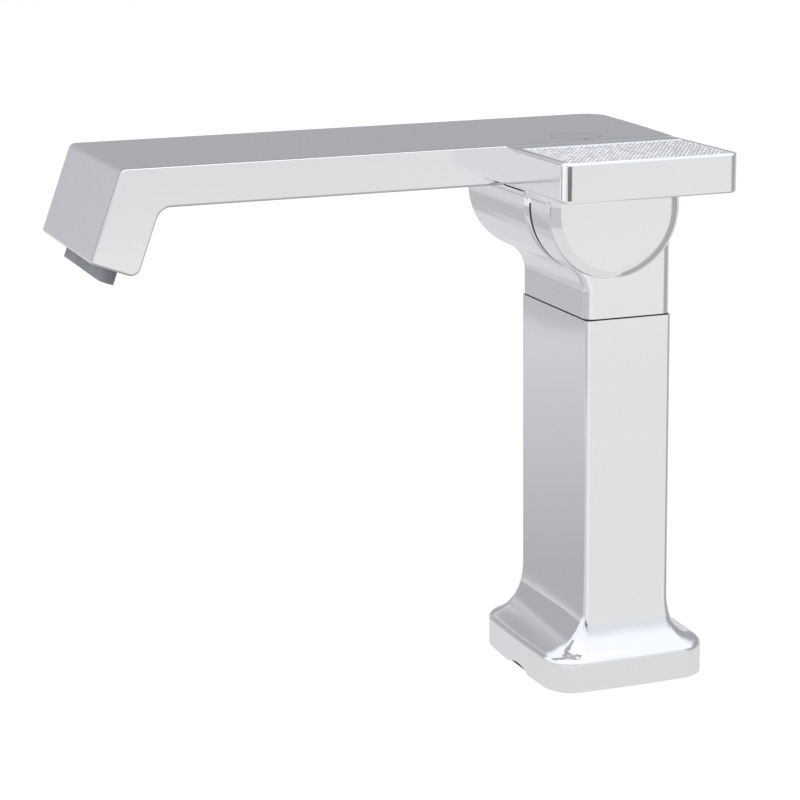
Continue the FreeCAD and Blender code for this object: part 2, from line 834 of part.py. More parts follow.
def build_spout():
    body = new_body("spout_casting")
    plan = new_sketch(body, "spout_plan", "XY_Plane", tip_back_z - overrun)
    rear_near = size("spout_rear_near")
    rear_far = size("spout_rear_far")
    chord_x = size("spout_width")
    chord_y = rear_far - rear_near
    chord = root(chord_x * chord_x + chord_y * chord_y)
    bulge = size("spout_rear_bulge")
    radius = (chord * chord / 4 + bulge * bulge) / (bulge * 2)
    depth = radius - bulge
    centre_x = spout_middle - chord_y / chord * depth
    centre_y = (rear_near + rear_far) / 2 - chord_x / chord * depth
    ahead = tip_low_y - overrun
    outline(plan, [
        (spout_far, ahead),
        (spout_near, ahead),
        (spout_near, rear_near, radius, centre_x, centre_y, 1),
        (spout_far, rear_far),
    ])
    pad(body, "spout_pad", plan, size("spout_top") - tip_back_z + overrun)

    # Everything outside the side view goes, which leaves the flat plate and its slanted tip
    side = new_sketch(body, "spout_side_view", "YZ_Plane")
    outline(side, [
        (spout_rear, spout_under),
        (spout_rear, tip_back_z - overrun * 2),
        (ahead - overrun, tip_back_z - overrun * 2),
        (ahead - overrun, size("spout_top")),
        (tip_top, size("spout_top")),
        (tip_low_y, tip_low_z),
        (tip_back_y, tip_back_z),
        (inner_y, spout_under),
    ])
    trim_through(body, "spout_trim", side)

    def across_at(y, z):
        return lambda edge, middle: runs_along(edge, "x") and same(middle.y, y.value) and same(middle.z, z.value)

    round_edges(body, "rear_round", size("spout_rear_corner"),
                lambda edge, middle: runs_along(edge, "z") and same(middle.x, spout_far.value)
                and middle.y > rear_near.value)
    round_edges(body, "tip_top_round", size("tip_top_round"), across_at(tip_top, size("spout_top")))
    round_edges(body, "tip_front_round", size("tip_front_round"), across_at(tip_low_y, tip_low_z))
    round_edges(body, "tip_back_round", size("tip_back_round"), across_at(tip_back_y, tip_back_z))
    round_edges(body, "tip_inner_round", size("tip_inner_round"), across_at(inner_y, spout_under))

    def rim(edge, middle):
        on_side = same(middle.x, spout_near.value) or same(middle.x, spout_far.value)
        behind = middle.y > rear_near.value - close and not runs_along(edge, "z")
        return (on_side and not runs_along(edge, "z")) or behind

    round_edges(body, "spout_edges", size("spout_edge"), rim)

    # Hollow plate, closed from below, with a post round the screw
    hollow_wall = size("spout_wall")
    hollow_front = inner_y + size("tip_inner_round")
    hollow_rear = rear_near - hollow_wall
    plate_top = spout_under + size("underplate_thickness")
    hollow = box("spout_hollow", (spout_far + hollow_wall, hollow_front, spout_under - overrun),
                 (spout_near - hollow_wall, hollow_rear, size("spout_top") - hollow_wall))
    post_radius = size("cap_radius") + size("cap_gap") + hollow_wall / 2
    post = cylinder("screw_post", post_radius, size("spout_top") - hollow_wall / 2 - plate_top,
                    (zero, cap_y, plate_top))
    cap_seat = cylinder("cap_seat", size("cap_radius") + size("cap_gap"), size("cap_thickness") + overrun,
                        (zero, cap_y, size("spout_top") - size("cap_thickness")))
    head_seat = cylinder("screw_head_seat", size("screw_head_radius") + fit_gap, size("spout_top"),
                         (zero, cap_y, screw_seat()))
    shank = cylinder("screw_shank_hole", size("screw_radius") + fit_gap, size("spout_top"),
                     (zero, cap_y, plate_top - overrun))
    nozzle_gap = size("nozzle_gap")
    nozzle_hole = lean(slot("nozzle_hole", size("nozzle_length") + nozzle_gap * 2,
                            size("nozzle_depth") + nozzle_gap * 2, -overrun, nozzle_gasket_top() + nozzle_gap))
    half = size("duct_width") / 2 + nozzle_gap
    drop_half = size("nozzle_depth") / 2 + nozzle_gap
    drop_room = lean(box("drop_room", (-half, -drop_half, nozzle_gasket_top()), (half, drop_half, drop_top)))
    run_room = box("run_room", (spout_middle - half, duct_front - nozzle_gap, plate_top),
                   (spout_middle + half, hollow_front + overrun, size("spout_top") - hollow_wall))
    roof = box("spout_roof", (spout_far - overrun, tip_low_y - overrun, size("spout_top") - hollow_wall),
               (spout_near + overrun, spout_rear, size("spout_top") + overrun))
    channel = cut("tip_channel", fuse("tip_channel_solid", nozzle_hole, drop_room, run_room), roof)
    shell = cut("spout_emptied", body, hollow, channel)
    keep("spout_shell", cut("spout_shell", fuse("spout_posted", shell, post), cap_seat, head_seat, shank))

    gap = size("underplate_gap")
    plate = box("underplate_sheet", (spout_far + hollow_wall + gap, hollow_front + gap, spout_under),
                (spout_near - hollow_wall - gap, hollow_rear - gap, plate_top))
    holes = [cylinder("underplate_screw_hole", size("screw_radius") + fit_gap, overrun * 2,
                      (zero, cap_y, spout_under - overrun)),
             cylinder("underplate_duct_hole", size("duct_inlet_radius") + fit_gap, overrun * 2,
                      (spout_middle, axis_y - size("duct_inlet_back"), spout_under - overrun))]
    for number, (x, y) in enumerate(dowel_places(), start=1):
        holes.append(cylinder(f"underplate_dowel_hole_{number}", size("dowel_radius"), overrun * 2,
                              (x, y, spout_under - overrun)))
    keep("spout_underplate", cut("spout_underplate", plate, *holes))


def screw_seat():
    return size("spout_top") - size("cap_thickness") - size("screw_head_height") - size("cap_gap")


def build_duct():
    """Waterway inside the spout: inlet stub, flat run, and the drop into the tip."""
    duct_wall = size("duct_wall")
    half = size("duct_width") / 2
    low = spout_under + size("underplate_thickness") + size("grip_gap")
    high = size("spout_top") - size("spout_wall") - size("grip_gap")
    rear = axis_y
    front = duct_front
    inlet_y = axis_y - size("duct_inlet_back")
    top = nozzle_gasket_top()
    drop_depth = size("nozzle_depth")
    run = box("duct_run", (spout_middle - half, front, low), (spout_middle + half, rear, high))
    run_bore = box("duct_run_bore", (spout_middle - half + duct_wall, front + duct_wall, low + duct_wall),
                   (spout_middle + half - duct_wall, rear - duct_wall, high - duct_wall))
    stub = cylinder("duct_stub", size("duct_inlet_radius"), size("duct_inlet_reach") + low - spout_under,
                    (spout_middle, inlet_y, spout_under - size("duct_inlet_reach") + size("grip_gap")))
    stub_bore = cylinder("duct_stub_bore", size("duct_inlet_radius") - duct_wall,
                         size("duct_inlet_reach") + size("spout_thickness") / 2,
                         (spout_middle, inlet_y, spout_under - size("duct_inlet_reach") - overrun))
    drop = lean(box("duct_drop", (-half, -drop_depth / 2, top), (half, drop_depth / 2, drop_top)))
    drop_bore = lean(box("duct_drop_bore", (duct_wall - half, duct_wall - drop_depth / 2, top - overrun),
                         (half - duct_wall, drop_depth / 2 - duct_wall, drop_top - duct_wall)))
    ceiling = box("duct_ceiling", (spout_far, tip_low_y - overrun, high),
                  (spout_near, spout_rear, size("spout_top") + overrun * 3))
    joined = cut("duct_joined", fuse("duct_solid", run, drop, stub), ceiling)
    bore_ceiling = box("duct_bore_ceiling", (spout_far, tip_low_y - overrun, high - duct_wall),
                       (spout_near, spout_rear, size("spout_top") + overrun * 3))
    bores = cut("duct_bores", fuse("duct_bore_solid", run_bore, drop_bore, stub_bore), bore_ceiling)
    keep("spout_waterway", cut("spout_waterway", joined, bores))
    gap = size("grip_gap")
    section = size("seal_section")
    keep("spout_seal", tube("spout_seal", size("duct_inlet_radius") + section * 2 - fit_gap - gap,
                            size("duct_inlet_radius") + gap, (section - gap) * 2,
                            (spout_middle, inlet_y, spout_under - size("duct_inlet_reach") / 2)))


def build_spout_fixings():
    head = cylinder("spout_screw_head", size("screw_head_radius"), size("screw_head_height"),
                    (zero, cap_y, screw_seat()))
    reach = screw_seat() - spout_under + size("screw_reach") - size("fit_gap")
    shank = cylinder("spout_screw_shank", size("screw_radius") - size("grip_gap"), reach,
                     (zero, cap_y, spout_under - size("screw_reach") + size("fit_gap")))
    socket_radius = size("screw_radius")
    socket = doc.addObject("Part::Prism", "spout_screw_socket")
    socket.Polygon = 6
    bind(socket, "Circumradius", socket_radius)
    bind(socket, "Height", size("screw_head_height"))
    place(socket, (zero, cap_y, screw_seat() + size("screw_head_height") / 2))
    keep("spout_screw", cut("spout_screw", fuse("spout_screw_solid", head, shank), socket))

    pins = []
    for number, (x, y) in enumerate(dowel_places(), start=1):
        pins.append(cylinder(f"dowel_{number}", size("dowel_radius") - size("grip_gap"),
                             size("dowel_reach") + size("underplate_thickness") - size("fit_gap"),
                             (x, y, spout_under - size("dowel_reach") + size("fit_gap"))))
    keep("spout_dowels", fuse("spout_dowels", *pins))

    disc = cylinder("cap_disc", size("cap_radius"), size("cap_thickness"),
                    (zero, cap_y, size("spout_top") - size("cap_thickness")))
    pry = cylinder("cap_pry", size("pry_radius"), size("cap_thickness"),
                   (size("cap_radius"), cap_y, size("spout_top") - size("cap_thickness") / 2))
    keep("screw_cap", cut("screw_cap", disc, pry))


def nozzle_gasket_top():
    return size("nozzle_seat") + size("nozzle_gasket_thickness")


def build_nozzle():
    """Slot outlet: a sleeve in the tip, the ribbed insert at its mouth and a gasket above it."""
    length = size("nozzle_length")
    depth = size("nozzle_depth")
    thickness = size("nozzle_wall")
    low = -size("nozzle_reach")
    top = size("nozzle_seat")
    inner_length = length - thickness * 2
    inner_depth = depth - thickness * 2
    sleeve = slot("nozzle_sleeve", length, depth, low, top)
    bore = slot("nozzle_bore", inner_length, inner_depth, low - overrun, top + overrun)
    keep("nozzle_housing", lean(cut("nozzle_housing", sleeve, bore)))

    gap = size("grip_gap")
    rib = size("insert_rib")
    insert_low = low + size("insert_recess")
    insert = slot("insert_bar", inner_length - gap * 2, inner_depth - gap * 2, insert_low,
                  insert_low + size("insert_height"))
    count = 16
    room = inner_length - inner_depth
    pitch = room / count
    windows = []
    for index in range(count):
        start = -room / 2 + pitch * index + rib / 2
        windows.append(box(f"insert_window_{index + 1}",
                           (start, -inner_depth / 2 + rib, insert_low - overrun),
                           (start + pitch - rib, inner_depth / 2 - rib, insert_low + size("insert_height") + overrun)))
    keep("nozzle_insert", lean(cut("nozzle_insert", insert, *windows)))

    pad_low = top + gap
    pad_high = nozzle_gasket_top() - gap
    gasket = slot("nozzle_gasket_pad", length, depth, pad_low, pad_high)
    half = size("duct_width") / 2 - size("duct_wall")
    hole = box("nozzle_gasket_hole", (-half, size("duct_wall") - depth / 2, pad_low - overrun),
               (half, depth / 2 - size("duct_wall"), pad_high + overrun))
    keep("nozzle_gasket", lean(cut("nozzle_gasket", gasket, hole)))


drum_near = half_width + size("drum_gap")
drum_end = drum_near + size("drum_length")
lever_near = lever_far + size("lever_width")
lever_front = -size("lever_front")
lever_rear = lever_front + size("lever_depth")
bore_end = drum_near + size("bore_depth")
stem_end = bore_end + size("stem_grip")
set_screw_x = (bore_end + stem_end) / 2


def build_lever():
    body = new_body("lever_block")
    sketch = new_sketch(body, "lever_plan", "XY_Plane", spout_under)
    corner = size("lever_corner")
    outline(sketch, [
        (lever_far, lever_front),
        (lever_near - corner, lever_front, corner, lever_near - corner, lever_front + corner, 1),
        (lever_near, lever_front + corner),
        (lever_near, lever_rear - corner, corner, lever_near - corner, lever_rear - corner, 1),
        (lever_near - corner, lever_rear),
        (lever_far + corner, lever_rear, corner, lever_far + corner, lever_rear - corner, 1),
        (lever_far, lever_rear - corner),
    ])
    pad(body, "lever_pad", sketch, size("spout_thickness"))
    round_edges(body, "lever_top_edge", size("lever_edge"),
                lambda edge, middle: same(middle.z, size("spout_top").value))
    round_edges(body, "lever_low_edge", size("lever_edge"),
                lambda edge, middle: same(middle.z, spout_under.value))

    # Round drum under the block, with rounded ends and a small flare along each side where they meet
    radius = size("drum_radius")
    flare = size("neck_flare")
    lip = size("neck_lip")
    edge = size("drum_edge")
    inner_edge = size("drum_inner_edge")
    drum = new_body("lever_drum")
    profile = new_sketch(drum, "drum_profile", "XY_Plane")
    outline(profile, [
        (drum_near, zero),
        (drum_end, zero),
        (drum_end, radius - edge, edge, drum_end - edge, radius - edge, 1),
        (drum_end - edge, radius),
        (drum_near + inner_edge, radius),
        (drum_near, radius - inner_edge),
    ])
    turn_profile(drum, "drum_turned", profile)
    place(drum, (zero, axis_y, axis_z))
    top = spout_under + size("lever_edge") * 2
    above = box("drum_above", (lever_far, lever_front - overrun, top),
                (lever_near, lever_rear + overrun, axis_z + radius + overrun))

    strips = new_body("drum_flares")
    strip_sketch = new_sketch(strips, "drum_flare_side", "YZ_Plane", drum_near + inner_edge)
    rear = axis_y + radius
    flare_foot = spout_under - flare
    lip_height = root(flare * flare - lip * lip)
    corners = neck_outline(rear + flare - lip, [
        (axis_y - radius, axis_z),
        (rear, axis_z),
        (rear, flare_foot, flare, rear + flare, flare_foot, -1),
        (rear + flare - lip, flare_foot + lip_height),
    ])
    corners[0] = (corners[0][0], top)
    corners[1] = (corners[1][0], top)
    outline(strip_sketch, corners)
    pad(strips, "drum_flare_pad", strip_sketch, size("drum_length") - inner_edge - edge)

    bore = cylinder("lever_bore", bore_radius, bore_end - lever_far + overrun,
                    (lever_far - overrun, axis_y, axis_z), "x")
    stem_hole = cylinder("lever_stem_hole", size("stem_radius") + size("grip_gap"),
                         size("stem_grip") + overrun, (bore_end - overrun, axis_y, axis_z), "x")
    screw_hole = cylinder("lever_screw_hole", size("set_screw_radius"), radius,
                          (set_screw_x, axis_y, axis_z - radius))
    plug_seat = cylinder("lever_plug_seat", size("set_plug_radius"),
                         size("set_plug_thickness") + overrun + size("lever_edge"),
                         (set_screw_x, axis_y, axis_z - radius - overrun))
    low = (lever_far + size("grip_margin_far"), lever_front + size("grip_margin_side"),
           size("spout_top") - size("grip_thickness"))
    high = (lever_near - size("grip_margin_near"), lever_rear - size("grip_margin_side"),
            size("spout_top") + overrun)
    grip_seat = box("grip_seat", low, high)
    solid = fuse("lever_solid", body, cut("drum_below", drum, above), strips)
    keep("lever", cut("lever", solid, bore, stem_hole, screw_hole, plug_seat, grip_seat))

    gap = size("grip_gap")
    keep("grip_plate", box("grip_plate", (low[0] + gap, low[1] + gap, low[2]),
                           (high[0] - gap, high[1] - gap, size("spout_top"))))

    screw_top = axis_z - size("stem_radius")
    screw = cylinder("lever_set_screw", size("set_screw_radius") - gap, size("set_screw_length"),
                     (set_screw_x, axis_y, screw_top - size("set_screw_length") - gap))
    keep("lever_set_screw", screw)
    plug = cylinder("plug_disc", size("set_plug_radius") - gap, size("set_plug_thickness"),
                    (set_screw_x, axis_y, axis_z - radius + size("lever_edge") - gap))
    keep("set_screw_plug", plug)


def build_cartridge():
    gap = size("cartridge_gap")
    radius = size("cartridge_radius")
    inner = radius - size("cartridge_wall")
    start = cartridge_start + gap
    end = cartridge_start + size("cartridge_length")
    slack = size("disc_gap")
    sleeve = cylinder("housing_sleeve", radius, end - start, (start, axis_y, axis_z), "x")
    room = cylinder("housing_room", inner, size("cartridge_length") - size("cartridge_wall"),
                    (start - gap, axis_y, axis_z), "x")
    mouth = cylinder("housing_mouth", size("stem_radius") + slack, size("cartridge_length") * 2,
                     (start, axis_y, axis_z), "x")
    keep("cartridge_housing", cut("cartridge_housing", sleeve, room, mouth))

    places = port_places()

    def port_holes(prefix, x, length, hole):
        return [cylinder(f"{prefix}_{name}", hole, length, (x, *at), "x") for name, at in places.items()]

    base = cylinder("base_disc", inner - gap, size("base_thickness"), (start, axis_y, axis_z), "x")
    seal_seat = port_holes("base_seal_seat", start - overrun,
                           overrun + size("port_seal_thickness") - gap, seal_outer())
    holes = port_holes("base_port", start - overrun, size("base_thickness") + overrun * 2, size("port_radius"))
    keep("cartridge_base", cut("cartridge_base", base, *seal_seat, *holes))

    seals = [tube(f"port_seal_{name}", seal_outer() - size("grip_gap"), size("port_radius"),
                  size("port_seal_thickness"), (cartridge_start, *at), "x") for name, at in places.items()]
    keep("port_seals", fuse("port_seals", *seals))

    fixed_x = start + size("base_thickness")
    fixed = cylinder("fixed_disc_blank", inner - gap, size("disc_thickness"), (fixed_x, axis_y, axis_z), "x")
    fixed_ports = port_holes("fixed_port", fixed_x - overrun, size("disc_thickness") + overrun * 2,
                             size("port_radius"))
    keep("fixed_disc", cut("fixed_disc", fixed, *fixed_ports))

    moving_x = fixed_x + size("disc_thickness") + size("grip_gap")
    moving = cylinder("moving_disc_blank", inner - slack, size("disc_thickness"),
                      (moving_x, axis_y, axis_z), "x")
    pocket_depth = size("disc_thickness") / 2
    front_pocket_share = 1.2
    pocket = fuse("mixing_pocket",
                  cylinder("mixing_front", size("port_radius") * front_pocket_share, pocket_depth,
                           (moving_x, *places["outlet"]), "x"),
                  cylinder("mixing_middle", size("port_circle") - size("port_radius"), pocket_depth,
                           (moving_x, axis_y, axis_z), "x"))
    keep("moving_disc", cut("moving_disc", moving, pocket))

    carrier_x = moving_x + size("disc_thickness") + size("grip_gap")
    carrier = cylinder("carrier", inner - slack, size("carrier_thickness"), (carrier_x, axis_y, axis_z), "x")
    stem = cylinder("stem", size("stem_radius"), stem_end - carrier_x - size("grip_gap"),
                    (carrier_x, axis_y, axis_z), "x")
    keep("cartridge_stem", fuse("cartridge_stem", carrier, stem))

    nut_x = end + size("grip_gap")
    nut_end = half_width + size("nut_reach")
    keep("cartridge_nut", tube("cartridge_nut", size("nut_radius") - size("grip_gap"), size("nut_bore"),
                               nut_end - nut_x, (nut_x, axis_y, axis_z), "x"))
    keep("glide_ring", tube("glide_ring", bore_radius - size("glide_gap"), size("nut_radius"),
                            size("glide_width"), (nut_end - size("glide_width"), axis_y, axis_z), "x"))


def seal_outer():
    return size("port_radius") + size("port_seal_width")


build_column()
build_gasket()
build_head()
build_head_fixings()
build_spout()
build_duct()
build_spout_fixings()
build_nozzle()
build_lever()
build_cartridge()
doc.recompute()

for thing in doc.Objects:
    if "Invalid" in thing.State or "Error" in thing.State:
        raise RuntimeError(f"{thing.Label} failed: {thing.getStatusString()}")

for name, thing in parts.items():
    if thing.Shape.isNull() or not thing.Shape.isValid() or not thing.Shape.Solids:
        raise RuntimeError(f"{name} has no valid solid")

os.makedirs("parts", exist_ok=True)
for name, thing in parts.items():
    thing.Shape.exportStep(f"parts/{name}.step")
    bounds = thing.Shape.BoundBox
    print(f"{name}: {len(thing.Shape.Solids)} solid, volume {thing.Shape.Volume:.0f}, "
          f"x {bounds.XMin:.1f} to {bounds.XMax:.1f}, y {bounds.YMin:.1f} to {bounds.YMax:.1f}, "
          f"z {bounds.ZMin:.1f} to {bounds.ZMax:.1f}")
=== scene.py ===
import json
import math

import bpy
import numpy as np
from mathutils import Matrix, Vector


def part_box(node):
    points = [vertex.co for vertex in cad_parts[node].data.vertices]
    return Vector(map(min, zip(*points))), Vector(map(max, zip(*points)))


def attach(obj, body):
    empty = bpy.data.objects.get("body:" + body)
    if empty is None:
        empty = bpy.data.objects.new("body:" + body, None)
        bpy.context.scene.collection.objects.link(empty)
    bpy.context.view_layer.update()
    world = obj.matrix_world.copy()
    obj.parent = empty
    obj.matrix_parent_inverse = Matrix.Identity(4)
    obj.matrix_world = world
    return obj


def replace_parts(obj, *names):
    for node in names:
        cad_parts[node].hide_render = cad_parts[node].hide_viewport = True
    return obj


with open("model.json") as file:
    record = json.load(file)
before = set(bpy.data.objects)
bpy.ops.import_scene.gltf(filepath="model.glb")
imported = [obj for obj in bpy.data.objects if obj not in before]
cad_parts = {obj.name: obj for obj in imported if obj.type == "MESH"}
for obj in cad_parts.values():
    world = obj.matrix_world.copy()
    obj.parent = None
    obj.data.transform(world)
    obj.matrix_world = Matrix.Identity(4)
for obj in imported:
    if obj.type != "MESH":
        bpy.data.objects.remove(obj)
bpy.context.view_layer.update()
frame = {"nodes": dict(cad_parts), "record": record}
nodes = frame["nodes"]
mm = 0.001
print("frame loaded:", len(nodes), "nodes")


def addObject(name, data):
    thing = bpy.data.objects.new(name, data)
    bpy.context.scene.collection.objects.link(thing)
    return thing


def newMesh(name, points, faces, material):
    mesh = bpy.data.meshes.new(name)
    mesh.from_pydata(points, [], faces)
    mesh.materials.append(material)
    return mesh


def boxOf(node):
    return (np.array(corner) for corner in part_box(node))


def gray(tone):
    return (tone, tone, tone, 1)


def darker(color, share):
    return (*(part * share for part in color), 1)


def makeCamera():
    view = {"azimuth": 69.695, "elevation": 13.412, "roll": -0.709, "distance": 0.777982,
            "target": (0.0, -0.068046, 0.095041), "lens": 109.894, "sensor": 36.0,
            "nearest": 0.01, "farthest": 20.0}
    azimuth, elevation, roll = (math.radians(view[key]) for key in ("azimuth", "elevation", "roll"))
    back = Vector((math.sin(azimuth) * math.cos(elevation), -math.cos(azimuth) * math.cos(elevation),
                   math.sin(elevation)))
    levelRight = Vector((math.cos(azimuth), math.sin(azimuth), 0))
    levelUp = back.cross(levelRight)
    right = levelRight * math.cos(roll) + levelUp * math.sin(roll)
    up = levelUp * math.cos(roll) - levelRight * math.sin(roll)
    data = bpy.data.cameras.new("photoCamera")
    data.lens, data.sensor_width = view["lens"], view["sensor"]
    data.clip_start, data.clip_end = view["nearest"], view["farthest"]
    camera = addObject("photoCamera", data)
    place = Matrix((right, up, back)).transposed().to_4x4()
    place.translation = Vector(view["target"]) + back * view["distance"]
    camera.matrix_world = place
    bpy.context.scene.camera = camera


# A small helper to lay out nodes: add makes one, wires it and gives it back
class Graph:
    perRow, stepAcross, stepDown = 12, 190, -320

    def __init__(self, tree):
        self.tree = tree
        self.count = 0

    def add(self, kind, inputs=None, **settings):
        node = self.tree.nodes.new(kind)
        row, column = divmod(self.count, self.perRow)
        node.location = (column * self.stepAcross, row * self.stepDown)
        self.count += 1
        for key, value in settings.items():
            setattr(node, key, value)
        for key, value in (inputs or {}).items():
            self.feed(node.inputs[key], value)
        return node

    def feed(self, socket, value):
        if isinstance(value, bpy.types.NodeSocket):
            self.tree.links.new(value, socket)
        else:
            socket.default_value = value

    def math(self, operation, first, second=0.0, clamp=False):
        node = self.add("ShaderNodeMath", {0: first, 1: second}, operation=operation, use_clamp=clamp)
        return node.outputs[0]

    def times(self, first, second):
        return self.math("MULTIPLY", first, second)

    def span(self, value, low, high, start=0.0, end=1.0, smooth=True):
        node = self.add("ShaderNodeMapRange", {"Value": value, "From Min": low, "From Max": high,
                                               "To Min": start, "To Max": end},
                        interpolation_type="SMOOTHSTEP" if smooth else "LINEAR")
        return node.outputs["Result"]

    # Soft steps from 0 to 1 and from 1 to 0 between two ends, and a stretch from one step to another
    def rise(self, value, ends):
        return self.span(value, *ends)

    def fall(self, value, ends):
        return self.span(value, *ends, 1.0, 0.0)

    def stretch(self, value, rising, falling):
        return self.times(self.rise(value, rising), self.fall(value, falling))

    # Sockets 6 and 7 are the two colours, output 2 is the mixed one
    def mixColor(self, factor, first, second, blend="MIX"):
        node = self.add("ShaderNodeMix", data_type="RGBA", blend_type=blend)
        for key, value in ((0, factor), (6, first), (7, second)):
            self.feed(node.inputs[key], value)
        return node.outputs[2]

    def split(self, vector):
        return self.add("ShaderNodeSeparateXYZ", {0: vector}).outputs

    def noise(self, vector, scale, detail=2.0, roughness=0.5):
        return self.add("ShaderNodeTexNoise", {"Vector": vector, "Scale": scale, "Detail": detail,
                                               "Roughness": roughness}).outputs["Fac"]


def newTree(kind, name, inputs, outputs):
    tree = bpy.data.node_groups.new(name, kind)
    for way, sockets in (("INPUT", inputs), ("OUTPUT", outputs)):
        for label, socketType in sockets:
            tree.interface.new_socket(label, in_out=way, socket_type=socketType)
    return tree


def newMaterial(name):
    material = bpy.data.materials.new(name)
    material.use_nodes = True
    material.node_tree.nodes.clear()
    return material, Graph(material.node_tree)


# Tone of the studio all round, as a curve over the bearing in degrees: 0 is straight in front of the spout,
# positive towards the lever, and both ends are straight behind
def makeStudioTone():
    ring = {-180: 0.40, -112: 0.43, -92: 0.44, -78: 0.53, -67: 0.67, -52: 0.86, -40: 1.0, 20: 1.0, 38: 0.72,
            60: 0.78, 104: 0.765, 114: 0.81, 122: 0.81, 134: 0.42, 180: 0.40}
    tree = newTree("ShaderNodeTree", "studioTone", [("Along", "NodeSocketVector")],
                   [("Tone", "NodeSocketFloat"), ("Bearing", "NodeSocketFloat")])
    g = Graph(tree)
    start = g.add("NodeGroupInput")
    x, y = g.split(start.outputs[0])[:2]
    bearing = g.math("DEGREES", g.math("ARCTAN2", x, g.times(y, -1.0)))
    share = g.span(bearing, -180.0, 180.0, smooth=False)
    ramp = g.add("ShaderNodeValToRGB", {0: share})
    stops = ramp.color_ramp.elements
    while len(stops) < len(ring):
        stops.new(0.5)
    for stop, (degrees, tone) in zip(stops, ring.items()):
        stop.position = (degrees + 180) / 360
        stop.color = gray(tone)
    g.add("NodeGroupOutput", {0: ramp.outputs["Color"], 1: bearing})
    return tree


# The studio's tone near the horizon, darker low down on one side of the front, under a cool white sky. The sky
# comes lower towards the lever, and lower again in one patch beyond the spout. Ends are parts of a direction
# of length 1, and bearings are in degrees
def makeWorld(toneTree):
    sky = {"overhead": 1.05, "clear": (0.42, 0.75), "cool": (0.955, 0.975, 1.03, 1),
           "lowFront": 0.45, "lowFrontFrom": (-72.0, -67.0), "lowFrontTo": (-52.0, -44.0),
           "leverSide": (-0.2, 0.5), "leverSideLift": 0.38, "beyond": (-0.85, -0.7), "beyondDrop": 0.08,
           "patch": (-0.890, -0.872), "patchLift": 0.24, "patchFront": (-0.25, -0.12), "patchRear": (0.2, 0.3),
           "patchFoot": (0.30, 0.35), "patchTop": (0.43, 0.46)}
    world = bpy.data.worlds.new("studio")
    bpy.context.scene.world = world
    world.use_nodes = True
    world.node_tree.nodes.clear()
    g = Graph(world.node_tree)
    along = g.add("ShaderNodeTexCoord").outputs["Generated"]
    x, y, height = g.split(along)
    ringTone, bearing = g.add("ShaderNodeGroup", {0: along}, node_tree=toneTree).outputs[:2]
    lowFront = g.stretch(bearing, sky["lowFrontFrom"], sky["lowFrontTo"])
    ringTone = g.mixColor(lowFront, ringTone, gray(sky["lowFront"]))
    lifted = g.math("ADD", height, g.span(x, *sky["leverSide"], 0.0, sky["leverSideLift"]))
    lifted = g.math("SUBTRACT", lifted, g.span(x, *sky["beyond"], sky["beyondDrop"], 0.0))
    patch = g.times(g.span(x, *sky["patch"], sky["patchLift"], 0.0),
                    g.stretch(y, sky["patchFront"], sky["patchRear"]))
    patch = g.times(patch, g.stretch(height, sky["patchFoot"], sky["patchTop"]))
    overhead = g.rise(g.math("ADD", lifted, patch), sky["clear"])
    tone = g.mixColor(overhead, ringTone, gray(sky["overhead"]))
    tinted = g.mixColor(1.0, tone, sky["cool"], "MULTIPLY")
    isCamera = g.add("ShaderNodeLightPath").outputs["Is Camera Ray"]
    color = g.mixColor(isCamera, tinted, (1, 1, 1, 1))
    background = g.add("ShaderNodeBackground", {"Color": color, "Strength": 1.0})
    g.add("ShaderNodeOutputWorld", {"Surface": background.outputs[0]})


